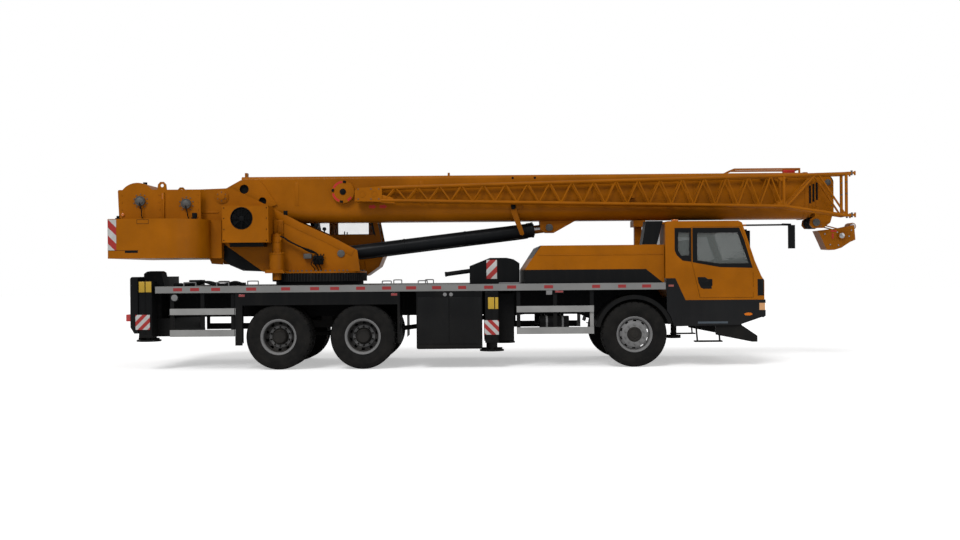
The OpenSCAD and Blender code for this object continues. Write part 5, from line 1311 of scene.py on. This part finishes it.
def cylinder_dress():
    """Gland, bands and pipes of the luffing cylinder."""
    low = Vector((BARREL_FOOT[0], 0, BARREL_FOOT[1]))
    high = Vector((ROD_EYE[0], 0, ROD_EYE[1]))
    along = (high - low).normalized()
    dark = Shape()
    for a, b, radius in ((3.280, 3.296, 0.100), (3.245, 3.281, 0.132), (2.100, 2.130, 0.124), (1.050, 1.080, 0.124),
                         (0.120, 0.150, 0.124)):
        dark.rod(low + along * a, low + along * b, radius, 48, edge=0.003)
    dark.piece("cylinder_bands", "barrel", "cylinder")
    pipe = Shape()
    aside = Vector((0, 0.070, 0))
    below = along.cross(Vector((0, -1, 0))).normalized()
    for side in (-1, 1):
        line = [low + along * d + below * h + aside * side for d, h in
                ((0.30, 0.105), (0.34, 0.128), (1.20, 0.128), (2.20, 0.128), (3.10, 0.128), (3.16, 0.108))]
        pipe.path(line, 0.010, 10, 4)
    pipe.piece("cylinder_pipes", "black", "cylinder")


for build in (tyres, wheels, column_dress, carrier_lamps, cab_trim, hood_dress, locker_dress, deck_dress,
              weight_dress, winch_dress, cooler_dress, turntable_dress, operator_dress, boom_dress, jib_dress,
              head_dress, cylinder_dress):
    build()


# Stage


def stage():
    floor_shape = bmesh.new()
    bmesh.ops.create_grid(floor_shape, x_segments=1, y_segments=1, size=60.0)
    mesh = bpy.data.meshes.new("floor")
    floor_shape.to_mesh(mesh)
    floor_shape.free()
    floor = bpy.data.objects.new("floor", mesh)
    bpy.context.collection.objects.link(floor)
    finish = Finish("floor_pale")
    cloud = finish.noise(0.4, 3.0)
    rays = finish.node("ShaderNodeLightPath", {}, {}, "Is Camera Ray")
    finish.set(Base_Color=finish.blend(cloud, (0.84, 0.84, 0.84), (0.87, 0.87, 0.87)), Roughness=0.9,
               Emission_Color=finish.blend(rays, (0.0, 0.0, 0.0), (0.42, 0.42, 0.42)),
               Emission_Strength=1.0, Specular_IOR_Level=0.0)
    mesh.materials.append(finish.material)
    lamp("key", "SUN", (-6, -14, 16), (0, 0, 1), energy=1.6, angle=math.radians(25))
    lamp("fill", "SUN", (10, -10, 6), (0, 0, 1), energy=0.5, angle=math.radians(50))
    world = bpy.data.worlds.new("studio")
    bpy.context.scene.world = world
    world.use_nodes = True
    tree = world.node_tree
    rays = tree.nodes.new("ShaderNodeLightPath")
    seen = tree.nodes.new("ShaderNodeMath")
    seen.operation = "MAXIMUM"
    tree.links.new(rays.outputs["Is Camera Ray"], seen.inputs[0])
    tree.links.new(rays.outputs["Is Transmission Ray"], seen.inputs[1])
    strength = tree.nodes.new("ShaderNodeMapRange")
    strength.inputs[3].default_value = 0.45
    strength.inputs[4].default_value = 1.0
    tree.links.new(seen.outputs[0], strength.inputs[0])
    background = tree.nodes["Background"]
    background.inputs[0].default_value = (1.0, 1.0, 1.0, 1.0)
    tree.links.new(strength.outputs[0], background.inputs[1])


photo_camera()
stage()
bpy.context.scene.view_settings.view_transform = "Standard"
